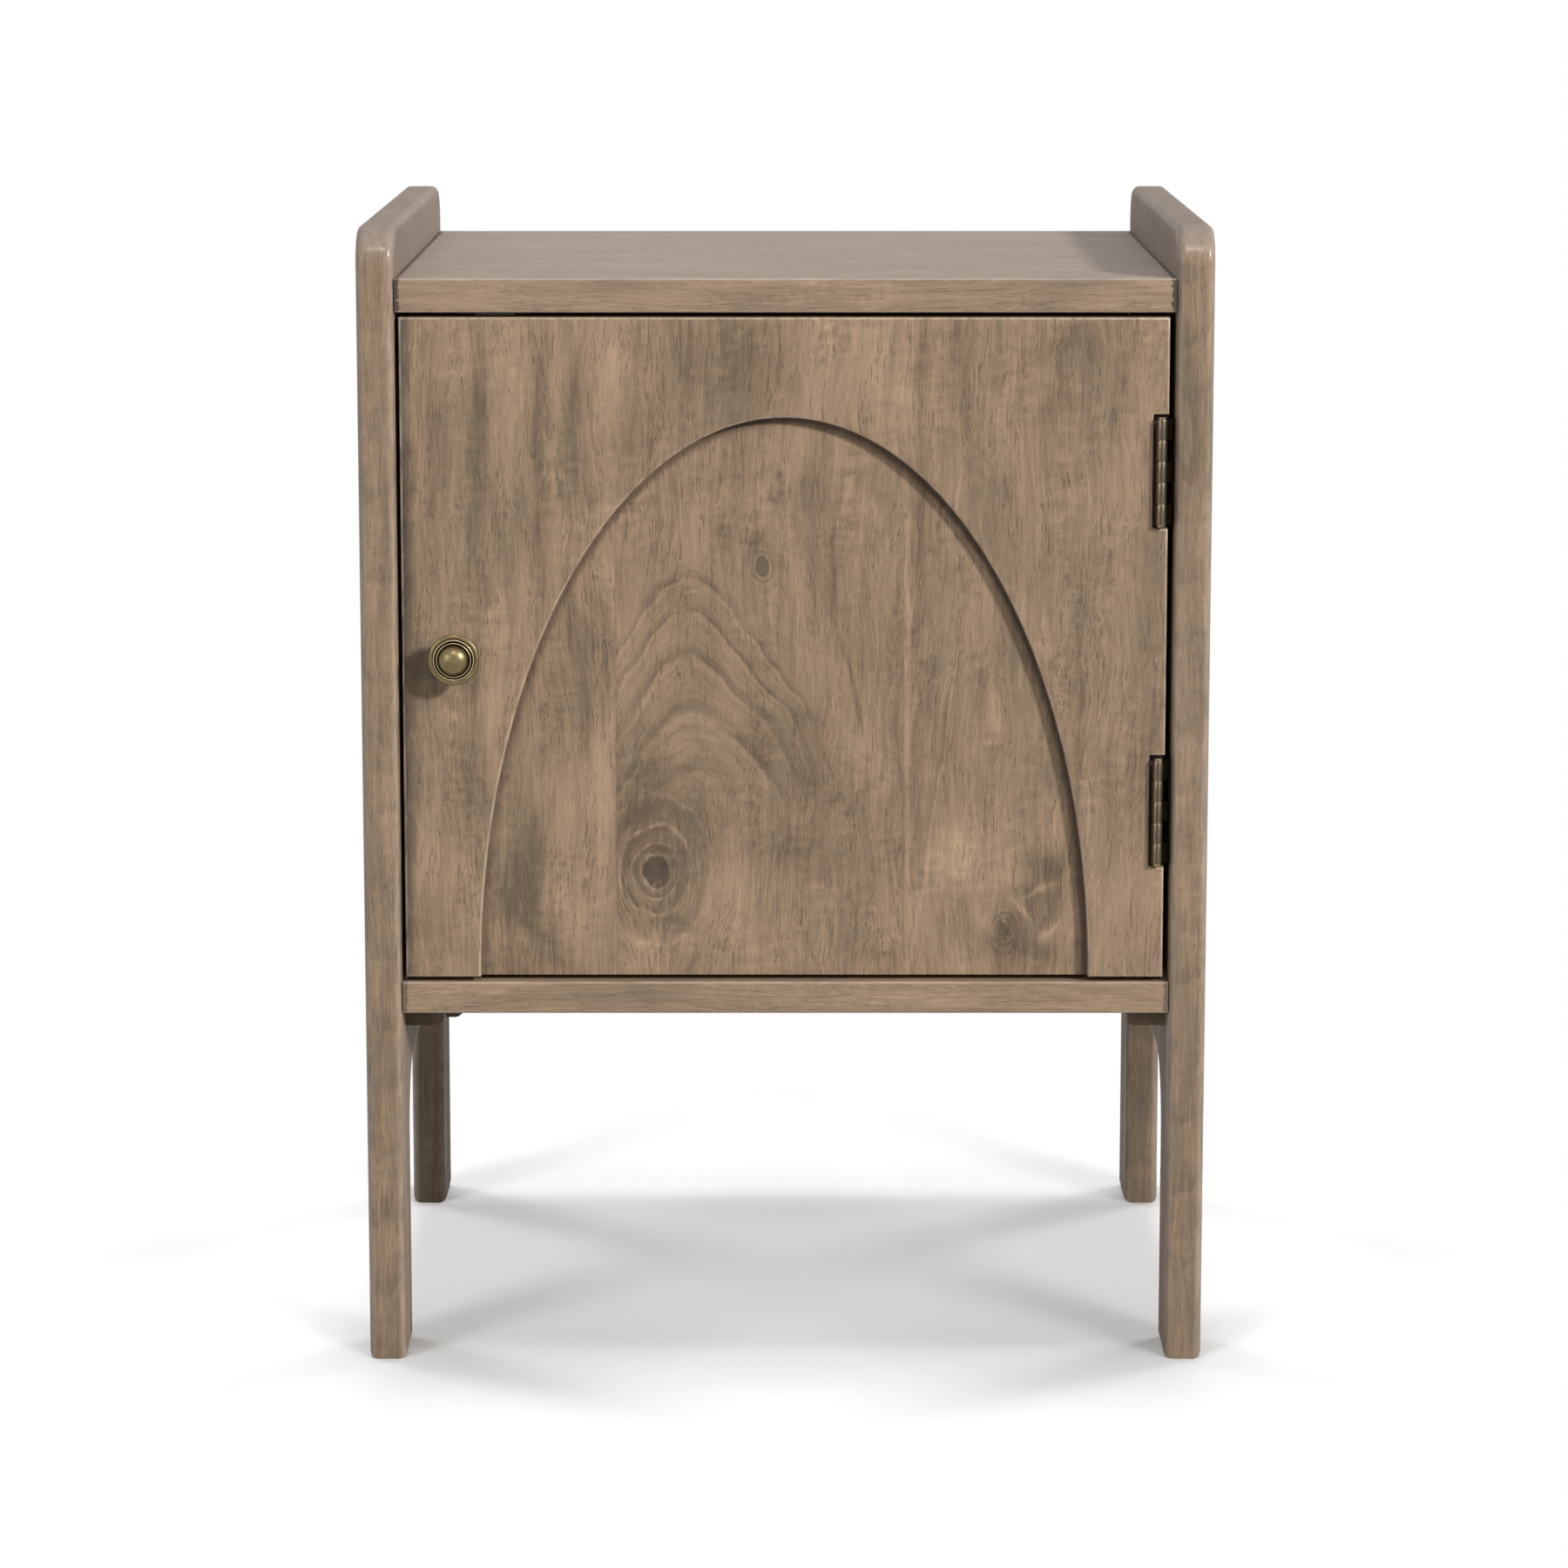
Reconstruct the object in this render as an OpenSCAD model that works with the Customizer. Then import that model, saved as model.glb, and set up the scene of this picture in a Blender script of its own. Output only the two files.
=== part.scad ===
// Nightstand with one door, two slab side panels and an arched door front.
// X runs across the front, Y to the rear, Z up. The origin is on the floor, under the middle.

/* [Case] */
// Width over the two side panels
case_w = 559; // [535:1:620]
// Depth of a side panel, front to rear
case_d = 457; // [410:1:500]
// Height of a side panel
case_h = 760; // [735:1:800]
// Thickness of a side panel
panel_t = 25; // [22:0.5:28]
// Radius of a side panel's two top corners
panel_corner_r = 20; // [12:1:28]
// Radius that eases a side panel's upright edges
panel_ease_r = 3; // [1.5:0.5:5]
// Height of the side panels above the top board
gallery_h = 33.5; // [25:0.5:45]
// Thickness of the top board
top_t = 22.5; // [20:0.5:26]
// Height of the bottom board's underside above the floor
base_h = 237.5; // [225:0.5:250]
// Thickness of the bottom board
bottom_t = 21.5; // [19:0.5:25]
// How far the boards' front edges stand behind the side panels
board_setback = 2; // [0:0.5:6]
// How far the boards' rear edges stand inside the side panels
board_inset = 14; // [10:0.5:22]

/* [Legs] */
// Depth of a leg, front to rear
leg_d = 55; // [45:1:75]
// Height of the gap between the legs
leg_gap_h = 190; // [160:1:205]
// Radius of that gap's two upper corners
leg_gap_r = 45; // [25:1:60]

/* [Back panel] */
// Thickness of the back panel
back_t = 6; // [4:0.5:9]
// How far the back panel laps over a board's rear edge
back_lap = 15; // [12:0.5:17]
// Gap at each upright edge of the back panel
back_gap = 0.5; // [0.3:0.1:1.5]
// Number of screws in each of its two rows
back_screw_count = 4; // [3:1:6]
// Distance from the back panel's edge to its first screw
back_screw_end = 45; // [30:1:70]

/* [Shelf] */
// Thickness of the shelf
shelf_t = 18; // [15:0.5:22]
// Clear height under the shelf
shelf_clear_h = 200; // [170:1:240]
// Gap between each end of the shelf and its side panel
shelf_gap = 2; // [1.8:0.1:3]
// How far the shelf's front edge stands behind the side panels' fronts
shelf_setback = 40; // [32:1:70]
// Radius of a shelf pin
shelf_pin_r = 2.5; // [2:0.25:3.5]
// Length of a shelf pin inside the side panel
shelf_pin_in = 10; // [8:0.5:14]
// Length of a shelf pin under the shelf
shelf_pin_out = 10; // [8:0.5:14]
// Radius of a shelf pin's collar
shelf_collar_r = 4.5; // [4:0.25:6]
// Thickness of a shelf pin's collar
shelf_collar_t = 1.4; // [1:0.1:1.6]
// Distance from the shelf's front or rear edge to its pins
shelf_pin_end = 45; // [30:1:80]

/* [Battens] */
// Width of a batten under the bottom board
batten_w = 25; // [20:0.5:32]
// Height of a batten
batten_h = 14.5; // [12:0.5:18]
// Distance from the side panels' fronts to a batten's front end
batten_front = 30; // [20:1:60]
// Distance from the side panels' rears to a batten's rear end
batten_rear = 40; // [30:1:80]
// Radius of a batten's lower inner corner
batten_corner_r = 4; // [2:0.5:8]
// Width of the packing strip beside the left batten
strip_w = 12; // [8:0.5:18]
// How far the packing strip starts behind the batten
strip_setback = 24; // [10:1:50]
// Radius of the packing strip's lower inner corner
strip_corner_r = 6; // [3:0.5:8]
// Number of screws in a batten
batten_screw_count = 3; // [2:1:5]
// Distance from a batten's end to its first screw
batten_screw_end = 40; // [25:1:60]

/* [Door] */
// Thickness of the door's glued-up boards
field_t = 14; // [12:0.5:18]
// Thickness of the arched frame on the front of the boards
arch_t = 8; // [7.5:0.5:10]
// How far the door's front stands behind the side panels' fronts
door_setback = 1; // [0.5:0.5:2]
// Gap beside the door at its opening edge
door_gap_latch = 2.5; // [2:0.1:4]
// Gap beside the door at its hinges
door_gap_hinge = 4; // [3.6:0.1:5]
// Gap above the door
door_gap_top = 2.9; // [2:0.1:4]
// Gap below the door
door_gap_bottom = 3.3; // [2:0.1:4]
// Width of the door's left board
board_left_w = 140; // [110:1:165]
// Width of the door's middle board
board_mid_w = 190; // [150:1:210]
// Width of the arched frame beside the arch, at the door's lower edge
arch_side = 49.75; // [40:0.25:60]
// Height of the arched frame above the arch
arch_head = 65.8; // [50:0.1:90]

/* [Knob] */
// Distance from the door's opening edge to the knob's centre
knob_inset = 35; // [30:1:42]
// Height of the knob's centre above the door's lower edge
knob_height = 216; // [190:1:245]
// Radius of the knob's head
knob_r = 16.8; // [15:0.2:19]
// How far the knob stands out from the door
knob_proj = 26; // [23:0.5:30]
// Radius of the knob's foot
knob_foot_r = 8; // [7:0.5:10]
// Radius of the knob's neck
knob_neck_r = 5.5; // [4.5:0.25:6.5]
// Radius of the knob's dome
knob_dome_r = 8.9; // [8:0.1:10]
// Height of the knob's dome above its rings
knob_dome_h = 5; // [3.5:0.5:6.5]
// Radius of the knob's screw
knob_screw_r = 2; // [1.5:0.25:2.5]

/* [Hinges] */
// Length of a hinge's leaves
hinge_len = 70; // [60:1:80]
// Height of the lower hinge's centre above the door's lower edge
hinge_low = 112; // [85:1:140]
// Distance of the upper hinge's centre below the door's upper edge
hinge_high = 101; // [75:1:130]
// Radius of a hinge's barrel
barrel_r = 3.9; // [3.4:0.1:4.2]
// Radius of a hinge pin
pin_r = 2; // [1.5:0.1:2.3]
// Thickness of a hinge leaf
leaf_t = 1.4; // [1.2:0.1:1.5]
// Distance from the door's edge to the hinge pin's axis
pin_inset = 4.8; // [4.6:0.1:5.4]
// How far the hinge pin's axis stands in front of the side panels
pin_proud = 1; // [0.5:0.25:1.5]
// Width of the leaf on the side panel
frame_leaf_w = 23; // [20:0.5:26]
// Width of the leaf on the door's edge
door_leaf_w = 15; // [13:0.5:15.5]
// Number of screws in a leaf
leaf_screw_count = 3; // [2:1:4]
// Distance from a leaf's end to its first screw
leaf_screw_end = 10; // [7:0.5:14]

/* [Catch] */
// Distance from the door's opening edge to the catch's middle
catch_inset = 62; // [50:1:90]
// Width of the catch between its ears
catch_w = 30; // [26:1:36]
// Depth of the catch, front to rear
catch_d = 15; // [12:0.5:20]
// Height of the catch
catch_h = 13; // [11:0.5:16]
// Width of an ear
catch_ear_w = 9; // [8:0.5:12]
// Thickness of an ear
catch_ear_t = 3; // [2.4:0.2:4]
// Thickness of the magnet's case above, below and beside it
catch_wall = 2.5; // [2:0.25:3.5]
// Thickness of the strike plate
strike_t = 1.2; // [1:0.1:1.5]
// Height of the strike plate
strike_h = 10; // [8:0.5:12]
// Distance from the door's upper edge to the strike plate
strike_drop = 1.5; // [1:0.25:3]

/* [Dowels and screws] */
// Radius of a dowel
dowel_r = 4; // [3:0.5:4.5]
// Length of a dowel inside the side panel
dowel_in_panel = 15; // [12:0.5:18]
// Length of a dowel inside the board
dowel_in_board = 22; // [18:0.5:30]
// Number of dowels at each end of a board
dowel_count = 4; // [3:1:6]
// Distance from the board's front or rear edge to its first dowel
dowel_end = 48; // [35:1:70]
// Radius of the smaller screws
small_screw_r = 1.5; // [1.25:0.05:1.6]
// Length of the smaller screws
small_screw_len = 14; // [12:0.5:17]
// Radius of the batten screws
batten_screw_r = 2; // [1.75:0.25:2.5]
// How far a batten screw reaches into the side panel
batten_screw_in = 14; // [10:0.5:18]

/* [Hidden] */
$fn = 64;

// Clearances: a peg or screw in its hole, past its end, a seat, and a part that moves
fit_gap = 0.05;
end_gap = 0.5;
seat_gap = 0.3;
swing_gap = 0.5;
// Overshoot of a cutting shape beyond the face that it opens
past = 1;

// Case
half_in = case_w / 2 - panel_t;
top_z = case_h - gallery_h;
top_under_z = top_z - top_t;
floor_z = base_h + bottom_t;
board_d = case_d - board_setback - board_inset;
board_rear = case_d - board_inset;
// Middle of the knob's front and the side panels' rear, so that Y is centred
y_front = -(case_d - (knob_proj - door_setback)) / 2;

// Door
door_x0 = -half_in + door_gap_latch;
door_x1 = half_in - door_gap_hinge;
door_z0 = floor_z + door_gap_bottom;
door_z1 = top_under_z - door_gap_top;
door_h = door_z1 - door_z0;
field_y = door_setback + arch_t;
door_back = field_y + field_t;
joint_left_x = door_x0 + board_left_w;
joint_right_x = joint_left_x + board_mid_w;
arch_half_w = (door_x1 - door_x0) / 2 - arch_side;
arch_rise = door_h - arch_head;
arch_steps = 72;

// Knob
knob_x = door_x0 + knob_inset;
knob_z = door_z0 + knob_height;
knob_foot_t = 2.5;
knob_rim_t = 2.6;
knob_ring_count = 3;
knob_ring_r = 1.15;
knob_ring_pitch = 2.45;
knob_ring_rise = 0.8;
knob_screw_in = 10;
knob_screw_head_r = 4;
knob_screw_head_t = 2.4;

// Hinges
knuckle_count = 5;
knuckle_gap = 0.3;
knuckle_pitch = hinge_len / knuckle_count;
pin_tip_t = 1;
pin_tip_r = 2.9;
pin_x = door_x1 - pin_inset;
pin_y = -pin_proud;
hinge_low_z = door_z0 + hinge_low;
hinge_high_z = door_z1 - hinge_high;
frame_leaf_y = 3.5;
door_leaf_y = 6;
notch_bottom_y = door_leaf_y + leaf_t;
leaf_screw_y = field_y + field_t / 2;

// Catch
catch_x = door_x0 + catch_inset;
catch_y = door_back + strike_t + seat_gap;
strike_z = door_z1 - strike_drop - strike_h / 2;

// Shelf
shelf_z = floor_z + shelf_clear_h;
shelf_rear = board_rear - shelf_gap;

// A screw's head is this many times as wide as its shank
head_ratio = 1.9;

oak = [0.58, 0.50, 0.42];
oak_pale = [0.62, 0.56, 0.49];
oak_dark = [0.47, 0.40, 0.34];
inside = [0.63, 0.55, 0.46];
brass = [0.55, 0.47, 0.32];
bronze = [0.34, 0.28, 0.21];
steel = [0.66, 0.66, 0.67];
plastic = [0.22, 0.19, 0.17];
beech = [0.80, 0.68, 0.50];

// Moves a piece from the side panels' front plane to the part's own frame
module in_frame() {
    translate([0, y_front, 0]) children();
}

// A box from its lowest corner to its highest corner
module block(low, high) {
    translate(low) cube(high - low);
}

// Screws, dowels and their holes, all along +Z from the surface at z = 0

module flat_screw(shank_r, length) {
    head_r = shank_r * head_ratio;
    slot_w = shank_r * 0.36;
    slot_l = shank_r * 1.9;
    slot_h = shank_r * 0.55;
    difference() {
        union() {
            cylinder(r1 = head_r, r2 = shank_r, h = head_r - shank_r);
            cylinder(r = shank_r, h = length - shank_r);
            translate([0, 0, length - shank_r])
                cylinder(r1 = shank_r, r2 = shank_r * 0.2, h = shank_r);
        }
        for (turn = [0, 90])
            rotate([0, 0, turn])
                block([-slot_l / 2, -slot_w / 2, -past], [slot_l / 2, slot_w / 2, slot_h]);
    }
}

module flat_screw_hole(shank_r, length) {
    head_r = shank_r * head_ratio;
    cylinder(r1 = head_r + fit_gap, r2 = shank_r + fit_gap, h = head_r - shank_r);
    cylinder(r = shank_r + fit_gap, h = length + end_gap);
    translate([0, 0, -past]) cylinder(r = head_r + fit_gap, h = past);
}

module dowel() {
    translate([0, 0, -dowel_in_board]) cylinder(r = dowel_r, h = dowel_in_board + dowel_in_panel);
}

module dowel_hole() {
    translate([0, 0, -dowel_in_board - end_gap])
        cylinder(r = dowel_r + fit_gap, h = dowel_in_board + dowel_in_panel + 2 * end_gap);
}

// Places where fasteners stand, shared by each piece and what it goes into

// Steps from first to last, count of them in all
function spread(first, last, count) =
    [for (i = [0 : count - 1]) first + (last - first) * i / (count - 1)];

// Turned so that +Z runs into the side panel, from the inner face of side -1 or 1
module into_panel(side, y, z) {
    translate([side * half_in, y, z]) rotate([0, side * 90, 0]) children();
}

module dowel_places(side, z) {
    for (y = spread(board_setback + dowel_end, board_rear - dowel_end, dowel_count))
        into_panel(side, y, z) children();
}

module shelf_pin_places(side) {
    for (y = [shelf_setback + shelf_pin_end, shelf_rear - shelf_pin_end])
        into_panel(side, y, shelf_z - shelf_pin_r - fit_gap) children();
}

module batten_screw_places(side) {
    first = batten_front + batten_screw_end;
    last = case_d - batten_rear - batten_screw_end;
    for (y = spread(first, last, batten_screw_count))
        translate([-side * batten_w, 0, 0])
            into_panel(side, y, base_h - batten_h / 2) children();
}

module back_screw_places() {
    edge = half_in - back_gap - back_screw_end;
    for (z = [floor_z - back_lap / 2, top_under_z + back_lap / 2])
        for (x = spread(-edge, edge, back_screw_count))
            translate([x, board_rear + back_t, z]) rotate([90, 0, 0]) children();
}

module catch_screw_places() {
    for (side = [-1, 1])
        translate([catch_x + side * (catch_w + catch_ear_w) / 2, catch_y + catch_d / 2,
                   top_under_z - catch_ear_t])
            children();
}

module frame_screw_places(hinge_z) {
    reach = hinge_len / 2 - leaf_screw_end;
    for (z = spread(hinge_z - reach, hinge_z + reach, leaf_screw_count))
        translate([-leaf_t, 0, 0])
            into_panel(1, frame_leaf_y + frame_leaf_w * 0.6, z) children();
}

module door_screw_places(hinge_z) {
    reach = hinge_len / 2 - leaf_screw_end;
    for (z = spread(hinge_z - reach, hinge_z + reach, leaf_screw_count))
        translate([door_x1 + leaf_t, leaf_screw_y, z]) rotate([0, -90, 0]) children();
}

module strike_screw_place() {
    translate([catch_x, door_back + strike_t, strike_z]) rotate([90, 0, 0]) children();
}

// Side panels: a slab with a rounded top and two legs

module leg_gap_outline() {
    gap_d = case_d - 2 * leg_d;
    translate([leg_d, -past]) {
        square([gap_d, leg_gap_h - leg_gap_r + past]);
        translate([leg_gap_r, 0]) square([gap_d - 2 * leg_gap_r, leg_gap_h + past]);
    }
    for (y = [leg_d + leg_gap_r, case_d - leg_d - leg_gap_r])
        translate([y, leg_gap_h - leg_gap_r]) circle(leg_gap_r);
}

module side_outline() {
    difference() {
        union() {
            square([case_d, case_h - panel_corner_r]);
            translate([panel_corner_r, 0]) square([case_d - 2 * panel_corner_r, case_h]);
            for (y = [panel_corner_r, case_d - panel_corner_r])
                translate([y, case_h - panel_corner_r]) circle(panel_corner_r);
        }
        leg_gap_outline();
    }
}

module eased_plan() {
    translate([panel_ease_r, 0]) square([panel_t - 2 * panel_ease_r, case_d]);
    translate([0, panel_ease_r]) square([panel_t, case_d - 2 * panel_ease_r]);
    for (x = [panel_ease_r, panel_t - panel_ease_r])
        for (y = [panel_ease_r, case_d - panel_ease_r])
            translate([x, y]) circle(panel_ease_r);
}

module side_panel(side) {
    difference() {
        translate([side * (half_in + panel_t / 2) - panel_t / 2, 0, 0])
            intersection() {
                rotate([90, 0, 90]) linear_extrude(panel_t) side_outline();
                linear_extrude(case_h) eased_plan();
            }
        dowel_places(side, top_under_z + top_t / 2) dowel_hole();
        dowel_places(side, base_h + bottom_t / 2) dowel_hole();
        shelf_pin_places(side)
            translate([0, 0, -past])
                cylinder(r = shelf_pin_r + fit_gap, h = shelf_pin_in + end_gap + past);
        batten_screw_places(side) flat_screw_hole(batten_screw_r, batten_w + batten_screw_in);
        if (side > 0)
            for (z = [hinge_low_z, hinge_high_z])
                frame_screw_places(z) flat_screw_hole(small_screw_r, small_screw_len);
    }
}

module side_panel_left() {
    color(oak) in_frame() side_panel(-1);
}

module side_panel_right() {
    color(oak) in_frame() side_panel(1);
}

// Boards between the side panels

module board_dowel_holes(z) {
    for (side = [-1, 1])
        dowel_places(side, z) dowel_hole();
}

module top_board() {
    color(oak_pale) in_frame() difference() {
        block([-half_in, board_setback, top_under_z], [half_in, board_rear, top_z]);
        board_dowel_holes(top_under_z + top_t / 2);
        back_screw_places() flat_screw_hole(small_screw_r, small_screw_len);
        catch_screw_places() flat_screw_hole(small_screw_r, small_screw_len);
    }
}

module bottom_board() {
    color(oak) in_frame() difference() {
        block([-half_in, board_setback, base_h], [half_in, board_rear, floor_z]);
        board_dowel_holes(base_h + bottom_t / 2);
        back_screw_places() flat_screw_hole(small_screw_r, small_screw_len);
    }
}

module back_panel() {
    edge = half_in - back_gap;
    color(oak_dark) in_frame() difference() {
        block([-edge, board_rear, floor_z - back_lap],
              [edge, board_rear + back_t, top_under_z + back_lap]);
        back_screw_places() flat_screw_hole(small_screw_r, small_screw_len);
    }
}

module back_panel_screws() {
    color(steel) in_frame() back_screw_places() flat_screw(small_screw_r, small_screw_len);
}

module top_dowels() {
    color(beech) in_frame() for (side = [-1, 1])
        dowel_places(side, top_under_z + top_t / 2) dowel();
}

module bottom_dowels() {
    color(beech) in_frame() for (side = [-1, 1])
        dowel_places(side, base_h + bottom_t / 2) dowel();
}

// Shelf on four pins

module shelf() {
    edge = half_in - shelf_gap;
    color(inside) in_frame()
        block([-edge, shelf_setback, shelf_z], [edge, shelf_rear, shelf_z + shelf_t]);
}

module shelf_pins() {
    color(steel) in_frame() for (side = [-1, 1])
        shelf_pin_places(side) {
            cylinder(r = shelf_pin_r, h = shelf_pin_in);
            translate([0, 0, -shelf_pin_out]) cylinder(r = shelf_pin_r, h = shelf_pin_out);
            translate([0, 0, -shelf_collar_t]) cylinder(r = shelf_collar_r, h = shelf_collar_t);
        }
}

// Battens under the bottom board, each with its lower inner corner rounded

// Section in X and Z of a bar that hangs to the right of x = 0 and below z = 0
module bar_section(width, height, corner_r) {
    translate([0, -height]) square([width - corner_r, height]);
    translate([0, corner_r - height]) square([width, height - corner_r]);
    translate([width - corner_r, corner_r - height]) circle(corner_r);
}

// That bar run from front to rear, starting at x = start from the left side panel
module hung_bar(start, width, corner_r, front) {
    translate([-half_in + start, case_d - batten_rear, base_h])
        rotate([90, 0, 0])
            linear_extrude(case_d - batten_rear - front)
                bar_section(width, batten_h, corner_r);
}

module batten_left() {
    color(oak_dark) in_frame() difference() {
        hung_bar(0, batten_w, batten_corner_r, batten_front);
        batten_screw_places(-1) flat_screw_hole(batten_screw_r, batten_w + batten_screw_in);
    }
}

module batten_right() {
    color(oak_dark) in_frame() difference() {
        mirror([1, 0, 0]) hung_bar(0, batten_w, batten_corner_r, batten_front);
        batten_screw_places(1) flat_screw_hole(batten_screw_r, batten_w + batten_screw_in);
    }
}

module packing_strip_left() {
    color(oak_dark) in_frame()
        hung_bar(batten_w, strip_w, strip_corner_r, batten_front + strip_setback);
}

module batten_screws() {
    color(steel) in_frame() for (side = [-1, 1])
        batten_screw_places(side) flat_screw(batten_screw_r, batten_w + batten_screw_in);
}

// Hinges, drawn about the pin's axis

// Straight bar of leaf thickness from the pin's axis to a point
module web(x, y) {
    length = norm([x, y]);
    rotate([0, 0, atan2(y, x)])
        translate([0, -leaf_t / 2, 0])
            cube([length, leaf_t, knuckle_pitch - knuckle_gap]);
}

// A leaf's knuckles: every other one from the lowest, or from the one above it
module knuckles(first, web_x, web_y) {
    for (i = [first : 2 : knuckle_count - 1])
        translate([0, 0, i * knuckle_pitch + knuckle_gap / 2]) {
            cylinder(r = barrel_r, h = knuckle_pitch - knuckle_gap);
            web(web_x, web_y);
        }
}

module pin_bore() {
    translate([0, 0, -past]) cylinder(r = pin_r + fit_gap, h = hinge_len + 2 * past);
}

module frame_leaf(hinge_z) {
    plate_x = half_in - leaf_t;
    difference() {
        union() {
            block([plate_x, frame_leaf_y, hinge_z - hinge_len / 2],
                  [half_in, frame_leaf_y + frame_leaf_w, hinge_z + hinge_len / 2]);
            translate([pin_x, pin_y, hinge_z - hinge_len / 2])
                knuckles(0, plate_x + leaf_t / 2 - pin_x, frame_leaf_y + leaf_t / 2 - pin_y);
        }
        translate([pin_x, pin_y, hinge_z - hinge_len / 2]) pin_bore();
        frame_screw_places(hinge_z) flat_screw_hole(small_screw_r, small_screw_len);
    }
}

module door_leaf(hinge_z) {
    difference() {
        union() {
            block([door_x1, door_leaf_y, hinge_z - hinge_len / 2],
                  [door_x1 + leaf_t, door_leaf_y + door_leaf_w, hinge_z + hinge_len / 2]);
            translate([pin_x, pin_y, hinge_z - hinge_len / 2])
                knuckles(1, door_x1 + leaf_t / 2 - pin_x, door_leaf_y + leaf_t / 2 - pin_y);
        }
        translate([pin_x, pin_y, hinge_z - hinge_len / 2]) pin_bore();
        door_screw_places(hinge_z) flat_screw_hole(small_screw_r, small_screw_len);
    }
}

module hinge_pin(hinge_z) {
    translate([pin_x, pin_y, hinge_z - hinge_len / 2]) {
        cylinder(r = pin_r, h = hinge_len);
        for (z = [-pin_tip_t, hinge_len])
            translate([0, 0, z]) cylinder(r = pin_tip_r, h = pin_tip_t);
    }
}

module hinge_upper_frame_leaf() {
    color(bronze) in_frame() frame_leaf(hinge_high_z);
}

module hinge_lower_frame_leaf() {
    color(bronze) in_frame() frame_leaf(hinge_low_z);
}

module hinge_upper_door_leaf() {
    color(bronze) in_frame() door_leaf(hinge_high_z);
}

module hinge_lower_door_leaf() {
    color(bronze) in_frame() door_leaf(hinge_low_z);
}

module hinge_upper_pin() {
    color(brass) in_frame() hinge_pin(hinge_high_z);
}

module hinge_lower_pin() {
    color(brass) in_frame() hinge_pin(hinge_low_z);
}

module frame_leaf_screws() {
    color(bronze) in_frame() for (z = [hinge_low_z, hinge_high_z])
        frame_screw_places(z) flat_screw(small_screw_r, small_screw_len);
}

module door_leaf_screws() {
    color(bronze) in_frame() for (z = [hinge_low_z, hinge_high_z])
        door_screw_places(z) flat_screw(small_screw_r, small_screw_len);
}

// Door: three boards edge to edge, and an arched frame glued on their front

module door_board(x0, x1) {
    difference() {
        block([x0, field_y, door_z0], [x1, door_back, door_z1]);
        for (z = [hinge_low_z, hinge_high_z])
            door_screw_places(z) flat_screw_hole(small_screw_r, small_screw_len);
        knob_screw_hole();
        strike_screw_place() flat_screw_hole(small_screw_r, small_screw_len);
    }
}

// Recess in the door's edge that a hinge's barrel sits in
module hinge_notch(hinge_z) {
    reach = hinge_len / 2 + pin_tip_t + swing_gap;
    block([pin_x - barrel_r - swing_gap, -past, hinge_z - reach],
          [door_x1 + past, notch_bottom_y, hinge_z + reach]);
}

// Half an ellipse that stands on the door's lower edge
module arch_outline() {
    polygon([for (i = [0 : arch_steps])
        [-arch_half_w * cos(180 * i / arch_steps), arch_rise * sin(180 * i / arch_steps)]]);
}

module door_arch_frame() {
    color(oak) in_frame() difference() {
        block([door_x0, door_setback, door_z0], [door_x1, field_y, door_z1]);
        translate([(door_x0 + door_x1) / 2, field_y + past, door_z0])
            rotate([90, 0, 0])
                linear_extrude(arch_t + 2 * past) {
                    arch_outline();
                    translate([-arch_half_w, -past]) square([2 * arch_half_w, past]);
                }
        for (z = [hinge_low_z, hinge_high_z])
            hinge_notch(z);
        knob_screw_hole();
        strike_screw_place() flat_screw_hole(small_screw_r, small_screw_len);
    }
}

module door_board_left() {
    color(oak_dark) in_frame() door_board(door_x0, joint_left_x);
}

module door_board_middle() {
    color(oak) in_frame() door_board(joint_left_x, joint_right_x);
}

module door_board_right() {
    color(oak_dark) in_frame() door_board(joint_right_x, door_x1);
}

// Knob, drawn along +Z away from the door and held by a screw from behind

module at_knob() {
    translate([knob_x, door_setback, knob_z]) rotate([90, 0, 0]) children();
}

module knob_screw_hole() {
    depth = door_back - door_setback;
    at_knob() translate([0, 0, -depth - past])
        cylinder(r = knob_screw_r + fit_gap, h = depth + knob_screw_in + end_gap + past);
}

module knob_profile() {
    rings_top = knob_proj - knob_dome_h;
    rim_top = rings_top - knob_ring_count * knob_ring_rise;
    rim_low = rim_top - knob_rim_t;
    neck_top = rim_low - (knob_r - knob_neck_r) / 4;
    polygon([
        [0, 0],
        [knob_foot_r, 0],
        [knob_foot_r, knob_foot_t * 0.6],
        [knob_neck_r, knob_foot_t * 2],
        [knob_neck_r, neck_top],
        [knob_r - knob_ring_r * 0.6, rim_low],
        [knob_r, rim_low + knob_ring_r * 0.6],
        [knob_r, rim_top - knob_ring_r],
        [knob_r - knob_ring_r, rim_top],
        [knob_dome_r, rings_top],
        [0, rings_top]
    ]);
    for (i = [0 : knob_ring_count - 1])
        translate([knob_r - knob_ring_r - i * knob_ring_pitch,
                   rim_top - knob_ring_r * 0.5 + i * knob_ring_rise])
            circle(knob_ring_r);
    dome_curve_r = (pow(knob_dome_r, 2) + pow(knob_dome_h, 2)) / (2 * knob_dome_h);
    intersection() {
        translate([0, knob_proj - dome_curve_r]) circle(dome_curve_r);
        translate([0, rings_top - knob_ring_rise]) square([knob_dome_r, knob_dome_h * 2]);
    }
}

module knob() {
    color(brass) in_frame() difference() {
        at_knob() rotate_extrude() knob_profile();
        knob_screw_hole();
    }
}

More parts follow.
